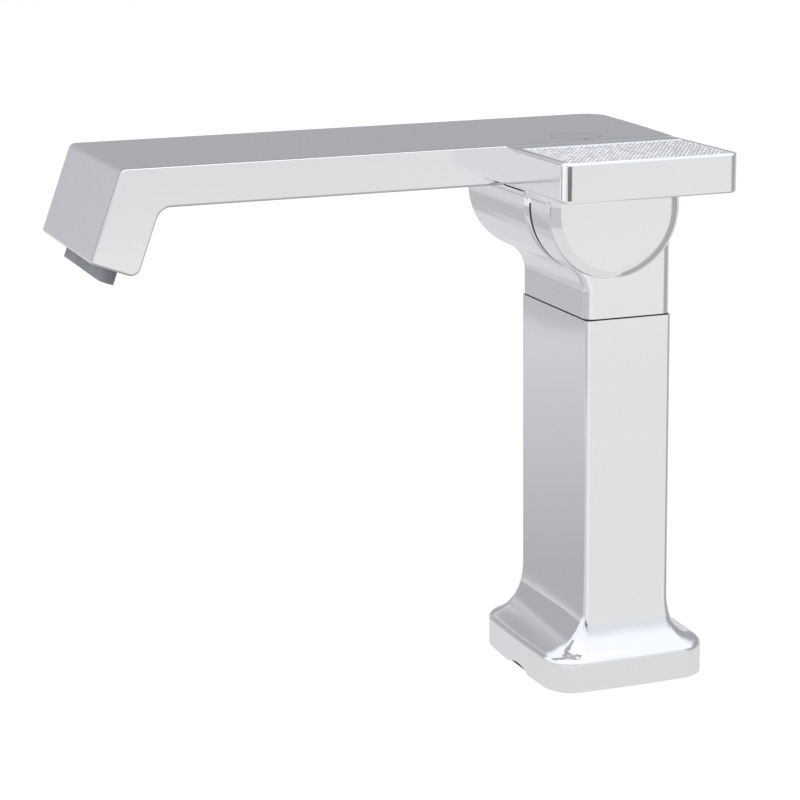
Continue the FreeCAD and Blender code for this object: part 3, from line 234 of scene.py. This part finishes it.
# White table. Metal sees painted tones on it: painted shade where the tap shades it, a painted pale margin
# close round the foot, a painted pool of light beyond the spout, a painted lit side towards the lever and,
# farther out, the tones of the studio. Distances are in metres from the foot's centre, and bearings in degrees
def makeTable(toneTree):
    table = {"half": 3.0, "color": (0.16, 0.16, 0.16, 1), "glow": 0.9, "diffuseShare": 0.17, "soft": 0.02,
             "cool": (0.975, 0.99, 1.03, 1), "shade": (0.473, 0.645), "shadeAt": (0.126, 0.49),
             "light": 0.69, "lightSlope": 0.3656, "lightOffset": 0.014, "lightFrom": -0.17,
             "behind": 0.72, "behindFrom": 0.03,
             "front": 0.62, "frontAt": (-60, -30), "frontFar": 0.53, "frontStep": 0.42,
             "lit": 0.86, "litAt": (22, 50), "side": 0.78, "sideAt": (60, 105),
             "sideFar": 0.82, "sideFarAt": (0.5, 0.7),
             "beyond": (-0.06, 0.02), "ahead": (-0.42, -0.26), "nearFrom": (-70, -60), "nearTo": (122, 134),
             "outer": (0.84, 0.94), "margin": 0.74, "marginEnd": 0.066, "marginSoft": 0.006}

    def softEdge(place, soft=table["soft"]):
        return place - soft, place + soft

    material, g = newMaterial("whiteTable")
    place = g.add("ShaderNodeTexCoord").outputs["Object"]
    ringTone, bearing = g.add("ShaderNodeGroup", {0: place}, node_tree=toneTree).outputs[:2]
    x, y = g.split(place)[:2]
    distance = g.add("ShaderNodeVectorMath", {0: place}, operation="LENGTH").outputs["Value"]
    shade = g.span(distance, *table["shadeAt"], *table["shade"], smooth=False)
    pastLine = g.math("SUBTRACT", y, g.times(x, table["lightSlope"]))
    lightPool = g.times(g.rise(pastLine, softEdge(table["lightOffset"], table["soft"] / 2)),
                        g.fall(x, softEdge(table["lightFrom"])))
    beyondTone = g.mixColor(lightPool, shade, gray(table["light"]))
    beyondTone = g.mixColor(g.rise(y, softEdge(table["behindFrom"])), beyondTone, gray(table["behind"]))
    frontTone = g.mixColor(g.rise(bearing, table["frontAt"]), shade, gray(table["front"]))
    frontTone = g.mixColor(g.rise(distance, softEdge(table["frontStep"])), frontTone, gray(table["frontFar"]))
    sideTone = g.mixColor(g.rise(distance, table["sideFarAt"]), gray(table["side"]), gray(table["sideFar"]))
    sideTone = g.mixColor(g.rise(bearing, table["sideAt"]), gray(table["lit"]), sideTone)
    frontTone = g.mixColor(g.rise(bearing, table["litAt"]), frontTone, sideTone)
    beyond = g.fall(x, table["beyond"])
    ahead = g.fall(y, table["ahead"])
    shaded = g.times(beyond, g.math("SUBTRACT", 1.0, ahead))
    near = g.stretch(bearing, table["nearFrom"], table["nearTo"])
    near = g.times(near, g.math("SUBTRACT", 1.0, shaded))
    nearTone = g.mixColor(shaded, frontTone, beyondTone)
    outer = g.rise(distance, table["outer"])
    tone = g.mixColor(g.times(g.math("SUBTRACT", 1.0, outer), g.math("MAXIMUM", near, shaded)),
                      ringTone, nearTone)
    tone = g.mixColor(g.times(shaded, outer), tone, beyondTone)
    margin = g.fall(distance, softEdge(table["marginEnd"], table["marginSoft"]))
    tone = g.mixColor(margin, tone, gray(table["margin"]))
    tone = g.mixColor(1.0, tone, gray(table["diffuseShare"]), "SUBTRACT")
    tone = g.mixColor(beyond, tone, g.mixColor(1.0, tone, table["cool"], "MULTIPLY"))
    path = g.add("ShaderNodeLightPath")
    seen = g.mixColor(path.outputs["Is Camera Ray"], tone, gray(table["glow"]))
    direct = g.math("MAXIMUM", path.outputs["Is Camera Ray"], path.outputs["Is Glossy Ray"])
    glow = g.add("ShaderNodeEmission", {"Color": seen, "Strength": direct})
    diffuse = g.add("ShaderNodeBsdfDiffuse", {"Color": table["color"]})
    both = g.add("ShaderNodeAddShader", {0: diffuse.outputs[0], 1: glow.outputs[0]})
    g.add("ShaderNodeOutputMaterial", {"Surface": both.outputs[0]})
    half = table["half"]
    corners = [(-half, -half, 0), (half, -half, 0), (half, half, 0), (-half, half, 0)]
    addObject("table", newMesh("table", corners, [(0, 1, 2, 3)], material))


# A glowing card that only metal sees, and only at first hand, which is a ray depth of 1: a painted reflection
def makeCard(name, points, faces, tone, oneSided=False):
    firstHand = 1.5
    material, g = newMaterial(name)
    glow = g.add("ShaderNodeEmission", {"Color": tone, "Strength": 1.0})
    clear = g.add("ShaderNodeBsdfTransparent")
    hidden = g.math("GREATER_THAN", g.add("ShaderNodeLightPath").outputs["Ray Depth"], firstHand)
    if oneSided:
        hidden = g.math("MAXIMUM", hidden, g.add("ShaderNodeNewGeometry").outputs["Backfacing"])
    shader = g.add("ShaderNodeMixShader", {0: hidden, 1: glow.outputs[0], 2: clear.outputs[0]})
    g.add("ShaderNodeOutputMaterial", {"Surface": shader.outputs[0]})
    card = addObject(name, newMesh(name, points, faces, material))
    card.visible_camera = False
    card.visible_diffuse = False
    card.visible_shadow = False


# Painted dark reflection: a low dark strip on an arc round the foot, between two bearings: an arc of points and
# the same arc raised
def makeDarkStrip():
    strip = {"fromBearing": 47.0, "toBearing": 88.0, "distance": 0.90, "height": 0.075, "steps": 16,
             "tone": 0.09}
    turn = np.radians(np.linspace(strip["fromBearing"], strip["toBearing"], strip["steps"] + 1))
    foot = np.stack([np.sin(turn), -np.cos(turn), turn * 0], -1) * strip["distance"]
    points = np.concatenate([foot, foot + (0, 0, strip["height"])])
    index = np.arange(2 * len(turn)).reshape(2, -1)
    faces = np.stack([index[0, :-1], index[0, 1:], index[1, 1:], index[1, :-1]], -1)
    makeCard("darkStrip", points.tolist(), faces.tolist(), gray(strip["tone"]))


# Painted grey reflection: a level grey plate beyond the neck, which is seen only from above
def makeNeckPlate():
    plate = {"level": 0.075, "tone": (0.517, 0.525, 0.546, 1),
             "outline": ((-0.26, -0.067), (-0.50, -0.10), (-0.50, -0.18), (-0.33, -0.18), (-0.14, -0.11),
                         (-0.175, -0.0906), (-0.231, -0.0906), (-0.1675, -0.067))}
    corners = [(x, y, plate["level"]) for x, y in plate["outline"]]
    makeCard("neckPlate", corners, [tuple(range(len(corners)))], plate["tone"], True)


def makeLamp():
    lamp = {"place": (0.35, -0.3, 1.3), "aim": (0, -0.06, 0.05), "size": (1.4, 1.4), "power": 7.5}
    data = bpy.data.lights.new("overhead", "AREA")
    data.shape = "RECTANGLE"
    data.size, data.size_y = lamp["size"]
    data.energy = lamp["power"]
    thing = addObject("overhead", data)
    thing.location = lamp["place"]
    toward = Vector(lamp["aim"]) - Vector(lamp["place"])
    thing.rotation_euler = toward.to_track_quat("-Z", "Y").to_euler()


# Plated or turned metal: fine buffing lines one way, soft handling marks and a few dull specks. Each noise is
# given by its scale, detail and roughness
def makeHandledMetal():
    wear = {"lines": (1.0, 3.0, 0.6), "linesAt": (0.3, 0.7), "linesShare": 0.15, "linesRelief": 0.25,
            "clouds": (38.0, 3.0, 0.55), "cloudsAt": (0.38, 0.68), "cloudsShare": 0.35,
            "specks": (900.0, 1.0), "specksAt": (0.70, 0.80), "specksShare": 0.6,
            "waves": (55.0, 1.0), "depth": 0.0002}
    tree = newTree("ShaderNodeTree", "handledMetal",
                   [("Roughness", "NodeSocketFloat"), ("Marks", "NodeSocketFloat"),
                    ("Relief", "NodeSocketFloat"), ("Stretch", "NodeSocketVector"),
                    ("Normal", "NodeSocketVector")],
                   [("Roughness", "NodeSocketFloat"), ("Normal", "NodeSocketVector")])
    g = Graph(tree)
    rough, marks, relief, stretch, facing = g.add("NodeGroupInput").outputs[:5]
    place = g.add("ShaderNodeTexCoord").outputs["Object"]
    stretched = g.add("ShaderNodeVectorMath", {0: place, 1: stretch}, operation="MULTIPLY").outputs[0]
    lines = g.noise(stretched, *wear["lines"])
    clouds = g.rise(g.noise(place, *wear["clouds"]), wear["cloudsAt"])
    specks = g.rise(g.noise(place, *wear["specks"]), wear["specksAt"])
    amount = g.math("ADD", g.times(clouds, wear["cloudsShare"]), g.times(specks, wear["specksShare"]))
    amount = g.math("ADD", amount, g.span(lines, *wear["linesAt"], -wear["linesShare"], wear["linesShare"],
                                          smooth=False))
    scaled = g.times(g.times(amount, marks), rough)
    result = g.math("ADD", rough, scaled, clamp=True)
    waves = g.math("ADD", g.times(lines, wear["linesRelief"]), g.noise(place, *wear["waves"]))
    bump = g.add("ShaderNodeBump", {"Strength": relief, "Distance": wear["depth"], "Height": waves,
                                    "Normal": facing})
    g.add("NodeGroupOutput", {0: result, 1: bump.outputs[0]})
    return tree


# Moulded plastic or rubber: a pebbled skin with a faint mottle in its colour
def makeMouldedSkin():
    pebbles = {"mottle": (160.0, 3.0), "mottleAt": (0.35, 0.7), "grainAt": (0.3, 0.7),
               "grainRoughness": (0.9, 1.12), "depth": 0.00008}
    tree = newTree("ShaderNodeTree", "mouldedSkin",
                   [("Pale", "NodeSocketColor"), ("Deep", "NodeSocketColor"), ("Roughness", "NodeSocketFloat"),
                    ("Grain Size", "NodeSocketFloat"), ("Relief", "NodeSocketFloat")],
                   [("Color", "NodeSocketColor"), ("Roughness", "NodeSocketFloat"),
                    ("Normal", "NodeSocketVector")])
    g = Graph(tree)
    pale, deep, rough, grainSize, relief = g.add("NodeGroupInput").outputs[:5]
    place = g.add("ShaderNodeTexCoord").outputs["Object"]
    grain = g.noise(place, grainSize)
    mottle = g.rise(g.noise(place, *pebbles["mottle"]), pebbles["mottleAt"])
    color = g.mixColor(mottle, deep, pale)
    result = g.times(rough, g.span(grain, *pebbles["grainAt"], *pebbles["grainRoughness"], smooth=False))
    bump = g.add("ShaderNodeBump", {"Strength": relief, "Distance": pebbles["depth"], "Height": grain})
    g.add("NodeGroupOutput", {0: color, 1: result, 2: bump.outputs[0]})
    return tree


# Tightens rounded edges beside the sides that face along X: the facing keeps to the flat faces until close to
# the crease. The second result marks the lower edge's rounding, which lies in the piece's own shade
def makeCrispEdges():
    lowerEdge = {"down": (-0.30, -0.05), "sideways": (0.10, 0.30)}
    tree = newTree("ShaderNodeTree", "crispEdges",
                   [("Power", "NodeSocketFloat"), ("Side Share", "NodeSocketFloat")],
                   [("Normal", "NodeSocketVector"), ("Lower Edge", "NodeSocketFloat")])
    g = Graph(tree)
    power, share = g.add("NodeGroupInput").outputs[:2]
    x, y, z = g.split(g.add("ShaderNodeNewGeometry").outputs["Normal"])
    across = g.math("ABSOLUTE", x)
    rest = g.math("SQRT", g.math("SUBTRACT", 1.0, g.times(across, across), clamp=True))
    acrossScale = g.math("POWER", g.times(across, share), power)
    restScale = g.math("POWER", rest, power)
    sharp = g.add("ShaderNodeCombineXYZ", {0: g.times(x, acrossScale), 1: g.times(y, restScale),
                                           2: g.times(z, restScale)}).outputs[0]
    normal = g.add("ShaderNodeVectorMath", {0: sharp}, operation="NORMALIZE").outputs[0]
    lower = g.times(g.fall(z, lowerEdge["down"]), g.rise(across, lowerEdge["sideways"]))
    g.add("NodeGroupOutput", {0: normal, 1: lower})
    return tree


# Painted shade: a dark line painted into the head's colour where the head ends beside the lever's drum, wider
# over the middle of its front
def shadeGroove(g, color, finish):
    groove = {"end": (26.02 * mm, 26.07 * mm), "front": (-18 * mm, -14 * mm), "widerBy": 1.15 * mm,
              "widerFrom": (141 * mm, 149 * mm), "widerTo": (151 * mm, 158.5 * mm)}
    x, y, z = g.split(g.add("ShaderNodeTexCoord").outputs["Object"])
    wider = g.stretch(z, groove["widerFrom"], groove["widerTo"])
    place = g.math("ADD", x, g.times(wider, groove["widerBy"]))
    line = g.times(g.rise(place, groove["end"]), g.fall(y, groove["front"]))
    return g.mixColor(line, color, darker(finish["color"], finish["grooveShade"]))


# The lever's drum: crisp over its lower front, where its rim is painted darker as painted shade, and a band
# across the rim more so as a painted reflection
def shadeDrum(g, color):
    drum = {"front": (-15 * mm, -11 * mm), "lower": (162.6 * mm, 163.3 * mm), "power": 10.0, "sideShare": 2.7,
            "rimFrom": (41.0 * mm, 41.5 * mm), "rimTo": (44.0 * mm, 44.15 * mm),
            "bandFrom": (153.9 * mm, 154.9 * mm), "bandTo": (160.4 * mm, 161.0 * mm),
            "rimPaintedShade": (0.92, 0.92, 0.92, 1), "bandPaintedReflection": (0.73, 0.73, 0.74, 1)}
    x, y, z = g.split(g.add("ShaderNodeTexCoord").outputs["Object"])
    lowerFront = g.times(g.fall(z, drum["lower"]), g.fall(y, drum["front"]))
    power = g.span(lowerFront, 0.0, 1.0, 0.0, drum["power"], smooth=False)
    share = g.span(lowerFront, 0.0, 1.0, 1.0, drum["sideShare"])
    rim = g.times(g.stretch(x, drum["rimFrom"], drum["rimTo"]), lowerFront)
    band = g.stretch(z, drum["bandFrom"], drum["bandTo"])
    tint = g.mixColor(band, drum["rimPaintedShade"], drum["bandPaintedReflection"])
    return power, share, g.mixColor(rim, color, g.mixColor(1.0, tint, color, "MULTIPLY"))


# Crisp edges on the spout, softer where it faces down, or on the lever's drum
def crispen(g, facing, color, finish):
    spout = {"down": (-0.12, -0.02), "power": (0.5, 4.2), "sideShare": 1.0}
    if finish["crisp"] == "spout":
        power = g.span(g.split(facing)[2], *spout["down"], *spout["power"], smooth=False)
        share = spout["sideShare"]
    else:
        power, share, color = shadeDrum(g, color)
    normal, lower = g.add("ShaderNodeGroup", {"Power": power, "Side Share": share},
                          node_tree=crispEdges).outputs[:2]
    # Painted shade: the spout's lower edge rounding is painted darker in the spout's colour
    if "edgeShade" in finish:
        color = g.mixColor(lower, color, darker(finish["color"], finish["edgeShade"]))
    return normal, color


def metalShader(g, finish):
    color = (*finish["color"], 1)
    facing = g.add("ShaderNodeNewGeometry").outputs["Normal"]
    if "grooveShade" in finish:
        color = shadeGroove(g, color, finish)
    if "crisp" in finish:
        facing, color = crispen(g, facing, color, finish)
    skin = g.add("ShaderNodeGroup", {"Roughness": finish["roughness"], "Marks": finish["marks"],
                                     "Relief": finish["relief"], "Stretch": finish["lines"],
                                     "Normal": facing}, node_tree=handledMetal).outputs
    return g.add("ShaderNodeBsdfPrincipled", {"Base Color": color, "Metallic": 1.0,
                                              "Roughness": skin["Roughness"], "Normal": skin["Normal"]})


def mouldedShader(g, finish):
    skin = g.add("ShaderNodeGroup", {"Pale": (*finish["color"], 1), "Deep": (*finish["deep"], 1),
                                     "Roughness": finish["roughness"], "Grain Size": finish["grainSize"],
                                     "Relief": finish["relief"]}, node_tree=mouldedSkin).outputs
    return g.add("ShaderNodeBsdfPrincipled", {"Base Color": skin["Color"], "Roughness": skin["Roughness"],
                                              "Normal": skin["Normal"]})


def finishMaterial(name, finish):
    material, g = newMaterial(name)
    shader = metalShader(g, finish) if finish["kind"] == "metal" else mouldedShader(g, finish)
    g.add("ShaderNodeOutputMaterial", {"Surface": shader.outputs[0]})
    return material


# Joins the loose triangles and shades them smooth, with edges sharper than the angle kept crisp
def makeSmoothCastings():
    limits = {"merge": 0.002 * mm, "sharpAbove": 32.0}
    socket = [("Geometry", "NodeSocketGeometry")]
    tree = newTree("GeometryNodeTree", "smoothCastings", socket, socket)
    g = Graph(tree)
    start = g.add("NodeGroupInput")
    merged = g.add("GeometryNodeMergeByDistance", {"Geometry": start.outputs[0], "Distance": limits["merge"]})
    faces = g.add("GeometryNodeSetShadeSmooth", {"Geometry": merged.outputs[0]})
    angle = g.add("GeometryNodeInputMeshEdgeAngle").outputs[0]
    blunt = g.add("FunctionNodeCompare", {0: angle, 1: math.radians(limits["sharpAbove"])},
                  data_type="FLOAT", operation="LESS_THAN")
    edges = g.add("GeometryNodeSetShadeSmooth", {"Geometry": faces.outputs[0],
                                                 "Shade Smooth": blunt.outputs[0]}, domain="EDGE")
    g.add("NodeGroupOutput", {0: edges.outputs[0]})
    return tree


# Each node gets the finish of its slot, or its own, and the same smooth shading
def dressNodes():
    dress = {"own": {"spout_shell": "spout_chrome", "lever": "lever_chrome", "head_body": "head_chrome"},
             "faceWeight": 100}
    slotOf = {row["node"]: row["material_slot"] for row in frame["record"]["subparts"]}
    finishOf = {**slotOf, **dress["own"]}
    castings = makeSmoothCastings()
    for name, node in nodes.items():
        node.data.materials.clear()
        node.data.materials.append(materials[finishOf[name]])
        node.modifiers.new("smooth", "NODES").node_group = castings
        weighted = node.modifiers.new("weighted", "WEIGHTED_NORMAL")
        weighted.keep_sharp = True
        weighted.weight = dress["faceWeight"]


def meshPiece(name, points, faces, body, slotName, smooth=False):
    mesh = newMesh(name, points.tolist(), faces.tolist(), materials[slotName])
    mesh.polygons.foreach_set("use_smooth", np.full(len(mesh.polygons), smooth))
    mesh.update()
    piece = addObject(name, mesh)
    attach(piece, body)
    return piece


# Grip pad of staggered rows of small pyramids, each a little different. Over a grid of half pitches the height
# is the peak where the row is odd and the column is odd or even by turns, and the valley elsewhere. Each cell
# is split along the line up to its peak. Walls go down from the grid's edge to a flat floor
def makeGripPad():
    grip = {"across": 16, "along": 26, "height": 0.46 * mm, "skirt": 0.02 * mm, "uneven": 0.25, "seed": 4}
    low, high = boxOf("grip_plate")
    columns, rows = grip["across"] * 2 + 1, grip["along"] * 2 + 1
    gridX, gridY = np.meshgrid(np.linspace(low[0], high[0], columns), np.linspace(low[1], high[1], rows),
                               indexing="ij")
    column, row = np.arange(columns)[:, None], np.arange(rows)[None, :]
    peak = (row % 2 == 1) & ((column + row // 2) % 2 == 1) & (column > 0) & (column < columns - 1)
    wear = grip["uneven"] * np.random.default_rng(grip["seed"]).random(peak.shape)
    rise = (grip["height"] - grip["skirt"]) * (1 - wear)
    valley = high[2] - grip["height"]
    top = np.stack([gridX, gridY, valley + peak * rise], axis=-1).reshape(-1, 3)
    index = np.arange(columns * rows).reshape(columns, rows)
    a, b, c, d = index[:-1, :-1], index[1:, :-1], index[1:, 1:], index[:-1, 1:]
    peakAbove = (row[:, :-1] + 1) % 2
    oddRow = row[:, :-1] + peakAbove
    even = (((column[:-1] + oddRow // 2 + 1) % 2) == peakAbove)[..., None]
    first = np.where(even, np.stack([a, b, c], -1), np.stack([a, b, d], -1)).reshape(-1, 3)
    second = np.where(even, np.stack([a, c, d], -1), np.stack([b, c, d], -1)).reshape(-1, 3)
    ring = np.concatenate([index[:, 0], index[-1, 1:], index[-2::-1, -1], index[0, -2:0:-1]])
    foot = top[ring].copy()
    foot[:, 2] = low[2]
    footIndex = np.arange(len(ring)) + len(top)
    nextRing, nextFoot = np.roll(ring, -1), np.roll(footIndex, -1)
    wallA = np.stack([nextRing, ring, footIndex], -1)
    wallB = np.stack([nextRing, footIndex, nextFoot], -1)
    centre = np.append((low[:2] + high[:2]) / 2, low[2])[None, :]
    floor = np.stack([nextFoot, footIndex, np.full(len(ring), len(top) + len(ring))], -1)
    points = np.concatenate([top, foot, centre])
    faces = np.concatenate([first, second, wallA, wallB, floor])
    pad = meshPiece("gripPad", points, faces, "lever", "textured_chrome")
    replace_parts(pad, "grip_plate")


# Seal rings of round section: the section's circle carried round the circle of the ring
def makeSealRings():
    seals = {"nodes": {"headRing": "head_seal", "spoutRing": "spout_seal"}, "around": 72, "section": 16}
    turn = np.linspace(0, 2 * math.pi, seals["around"], endpoint=False)[:, None]
    bend = np.linspace(0, 2 * math.pi, seals["section"], endpoint=False)[None, :]
    index = np.arange(seals["around"] * seals["section"]).reshape(seals["around"], seals["section"])
    ahead = np.roll(index, -1, axis=0)
    faces = np.stack([index, ahead, np.roll(ahead, -1, axis=1), np.roll(index, -1, axis=1)], -1).reshape(-1, 4)
    for name, node in seals["nodes"].items():
        low, high = boxOf(node)
        centre = (low + high) / 2
        minor = (high[2] - low[2]) / 2
        major = (high[0] - low[0]) / 2 - minor
        reach = major + minor * np.cos(bend)
        points = np.stack([centre[0] + reach * np.cos(turn), centre[1] + reach * np.sin(turn),
                           centre[2] + minor * np.sin(bend) + turn * 0], axis=-1).reshape(-1, 3)
        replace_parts(meshPiece(name, points, faces, "tap", "black_rubber", True), node)


# Painted shade: a dark band standing in for the shade in the reveal between head and pillar. It is a flat band
# along a rounded rectangle, whose points are each corner's centre plus its radius times the turn. They run
# round once for each corner of the band's section, which are outer and inner, low and high
def makeRevealShadeBand():
    band = {"halfWidth": 0.026, "halfDepth": 0.01485, "inset": 0.55 * mm, "corner": 1.5 * mm, "width": 0.9 * mm,
            "leastCorner": 0.05 * mm, "cornerSteps": 8, "gap": 0.04 * mm, "height": 0.42 * mm}
    outer = np.array([band["halfWidth"], band["halfDepth"]]) - band["inset"]
    inset = np.array([0.0, band["width"]])[:, None, None]
    radius = np.maximum(band["corner"] - inset, band["leastCorner"])
    signs = np.array([(1, 1), (-1, 1), (-1, -1), (1, -1)])
    centre = signs * (outer - inset - radius)
    turn = math.pi / 2 * (np.arange(4)[:, None] + np.linspace(0, 1, band["cornerSteps"]))
    arc = np.stack([np.cos(turn), np.sin(turn)], -1)
    outlines = (centre[:, :, None] + radius[..., None] * arc).reshape(2, -1, 2)
    count = outlines.shape[1]
    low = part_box("column")[1][2] + band["gap"]
    high = low + band["height"]
    rings = ((outlines[0], low), (outlines[0], high), (outlines[1], high), (outlines[1], low))
    points = np.concatenate([np.column_stack([flat, np.full(count, level)]) for flat, level in rings])
    index = np.arange(4 * count).reshape(4, count)
    nextRing = np.roll(index, -1, axis=0)
    faces = np.stack([index, np.roll(index, -1, axis=1), np.roll(nextRing, -1, axis=1), nextRing], -1)
    meshPiece("revealShadeBand", points, faces.reshape(-1, 4), "tap", "black_rubber")


# Painted shade: a dark band standing in for the shade in the gap between head and lever drum, which turns with
# the lever. It is a flat band along the lower half of two circles round the lever's axis, closed at both ends
def makeDrumGapShadeRing():
    drumGapShade = {"axisY": -12.7 * mm, "axisZ": 159.0 * mm, "from": 26.05 * mm, "to": 27.1 * mm,
             "outer": 21.6 * mm, "inner": 16.4 * mm, "sag": 0.27 * mm, "pastHalf": 3.0, "steps": 64}
    turn = np.radians(np.linspace(180 - drumGapShade["pastHalf"], 360 + drumGapShade["pastHalf"], drumGapShade["steps"]))
    rings = ((drumGapShade["outer"], drumGapShade["from"]), (drumGapShade["outer"], drumGapShade["to"]),
             (drumGapShade["inner"], drumGapShade["to"]), (drumGapShade["inner"], drumGapShade["from"]))
    points = [np.column_stack([np.full(len(turn), x), drumGapShade["axisY"] - drumGapShade["sag"] + radius * np.cos(turn),
                               drumGapShade["axisZ"] - drumGapShade["sag"] + radius * np.sin(turn)]) for radius, x in rings]
    index = np.arange(4 * len(turn)).reshape(4, -1)
    nextRing = np.roll(index, -1, axis=0)
    sides = np.stack([index[:, :-1], index[:, 1:], nextRing[:, 1:], nextRing[:, :-1]], -1).reshape(-1, 4)
    ends = np.stack([index[:, 0], index[::-1, -1]])
    meshPiece("drumGapShadeRing", np.concatenate(points), np.concatenate([sides, ends]), "lever", "black_rubber")


# Thin plated shim on the spout's side, which closes the slit in front of the lever: three rectangles one
# outside the other, the last one smaller by the chamfer, with walls between them and a face at each end
def makeSideShim():
    shim = {"thickness": 0.32 * mm, "chamfer": 0.03 * mm, "pastLever": 0.02 * mm, "inset": 0.55 * mm,
            "topInsets": 1.8, "plateDepth": 12.3 * mm}
    side, plateTop = (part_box("spout_shell")[1][axis] for axis in (0, 2))
    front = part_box("lever")[0][1] + shim["pastLever"]
    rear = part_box("head_body")[1][1]
    bottom = plateTop - shim["plateDepth"] + shim["inset"]
    top = plateTop - shim["inset"] * shim["topInsets"]
    x = np.array([side, side + shim["thickness"] - shim["chamfer"], side + shim["thickness"]])
    inset = np.array([0.0, 0.0, shim["chamfer"]])
    y = np.stack([front + inset, rear - inset, rear - inset, front + inset], -1)
    z = np.stack([bottom + inset, bottom + inset, top - inset, top - inset], -1)
    points = np.stack([np.repeat(x[:, None], 4, axis=1), y, z], -1).reshape(-1, 3)
    index = np.arange(12).reshape(3, 4)
    following = np.roll(index, -1, axis=1)
    walls = np.stack([index[:-1], following[:-1], following[1:], index[1:]], -1).reshape(-1, 4)
    faces = np.concatenate([[index[0, ::-1], index[2]], walls])
    meshPiece("sideShim", points, faces, "tap", "polished_chrome")


makeCamera()
toneTree = makeStudioTone()
makeWorld(toneTree)
makeTable(toneTree)
makeDarkStrip()
makeNeckPlate()
makeLamp()
print("studio ready")

handledMetal = makeHandledMetal()
crispEdges = makeCrispEdges()
mouldedSkin = makeMouldedSkin()
chrome = {"kind": "metal", "color": (0.93, 0.935, 0.945), "roughness": 0.10, "marks": 0.5,
          "relief": 0.05, "lines": (90, 90, 1400)}
finishes = {
    "polished_chrome": chrome,
    # The spout's, lever's and head's chrome carry painted shade in their colour: on the spout's lower edge,
    # over the drum's rim and along the head's end
    "spout_chrome": {**chrome, "crisp": "spout", "edgeShade": 0.56},
    "lever_chrome": {**chrome, "crisp": "lever"},
    "head_chrome": {**chrome, "grooveShade": 0.22},
    "satin_chrome": {"kind": "metal", "color": (0.82, 0.83, 0.85), "roughness": 0.28, "marks": 0.6,
                     "relief": 0.12, "lines": (90, 2500, 90)},
    "textured_chrome": {"kind": "metal", "color": (0.98, 0.98, 0.985), "roughness": 0.12, "marks": 0.4,
                        "relief": 0.04, "lines": (600, 600, 600)},
    "cap_chrome": {"kind": "metal", "color": (0.92, 0.925, 0.935), "roughness": 0.11, "marks": 0.5,
                   "relief": 0.05, "lines": (1400, 90, 90)},
    "stainless": {"kind": "metal", "color": (0.62, 0.62, 0.63), "roughness": 0.30, "marks": 0.8,
                  "relief": 0.15, "lines": (300, 300, 3500)},
    "brass": {"kind": "metal", "color": (0.78, 0.62, 0.32), "roughness": 0.26, "marks": 0.8,
              "relief": 0.15, "lines": (4000, 200, 200)},
    "grey_plastic": {"kind": "moulded", "color": (0.58, 0.59, 0.61), "deep": (0.52, 0.53, 0.55),
                     "roughness": 0.48, "grainSize": 2200.0, "relief": 0.25},
    "white_plastic": {"kind": "moulded", "color": (0.88, 0.88, 0.86), "deep": (0.83, 0.83, 0.80),
                      "roughness": 0.42, "grainSize": 2000.0, "relief": 0.2},
    "ceramic": {"kind": "moulded", "color": (0.90, 0.90, 0.88), "deep": (0.87, 0.87, 0.84),
                "roughness": 0.16, "grainSize": 3000.0, "relief": 0.05},
    "nozzle_grey": {"kind": "moulded", "color": (0.34, 0.35, 0.37), "deep": (0.30, 0.31, 0.33),
                    "roughness": 0.36, "grainSize": 2400.0, "relief": 0.25},
    "black_rubber": {"kind": "moulded", "color": (0.030, 0.030, 0.032), "deep": (0.022, 0.022, 0.024),
                     "roughness": 0.62, "grainSize": 1600.0, "relief": 0.4},
}
materials = {name: finishMaterial(name, finish) for name, finish in finishes.items()}
dressNodes()
print("finishes on", len(nodes), "nodes")

makeGripPad()
makeSealRings()
makeRevealShadeBand()
makeDrumGapShadeRing()
makeSideShim()
print("pieces made")

bpy.context.scene.view_settings.view_transform = "Standard"
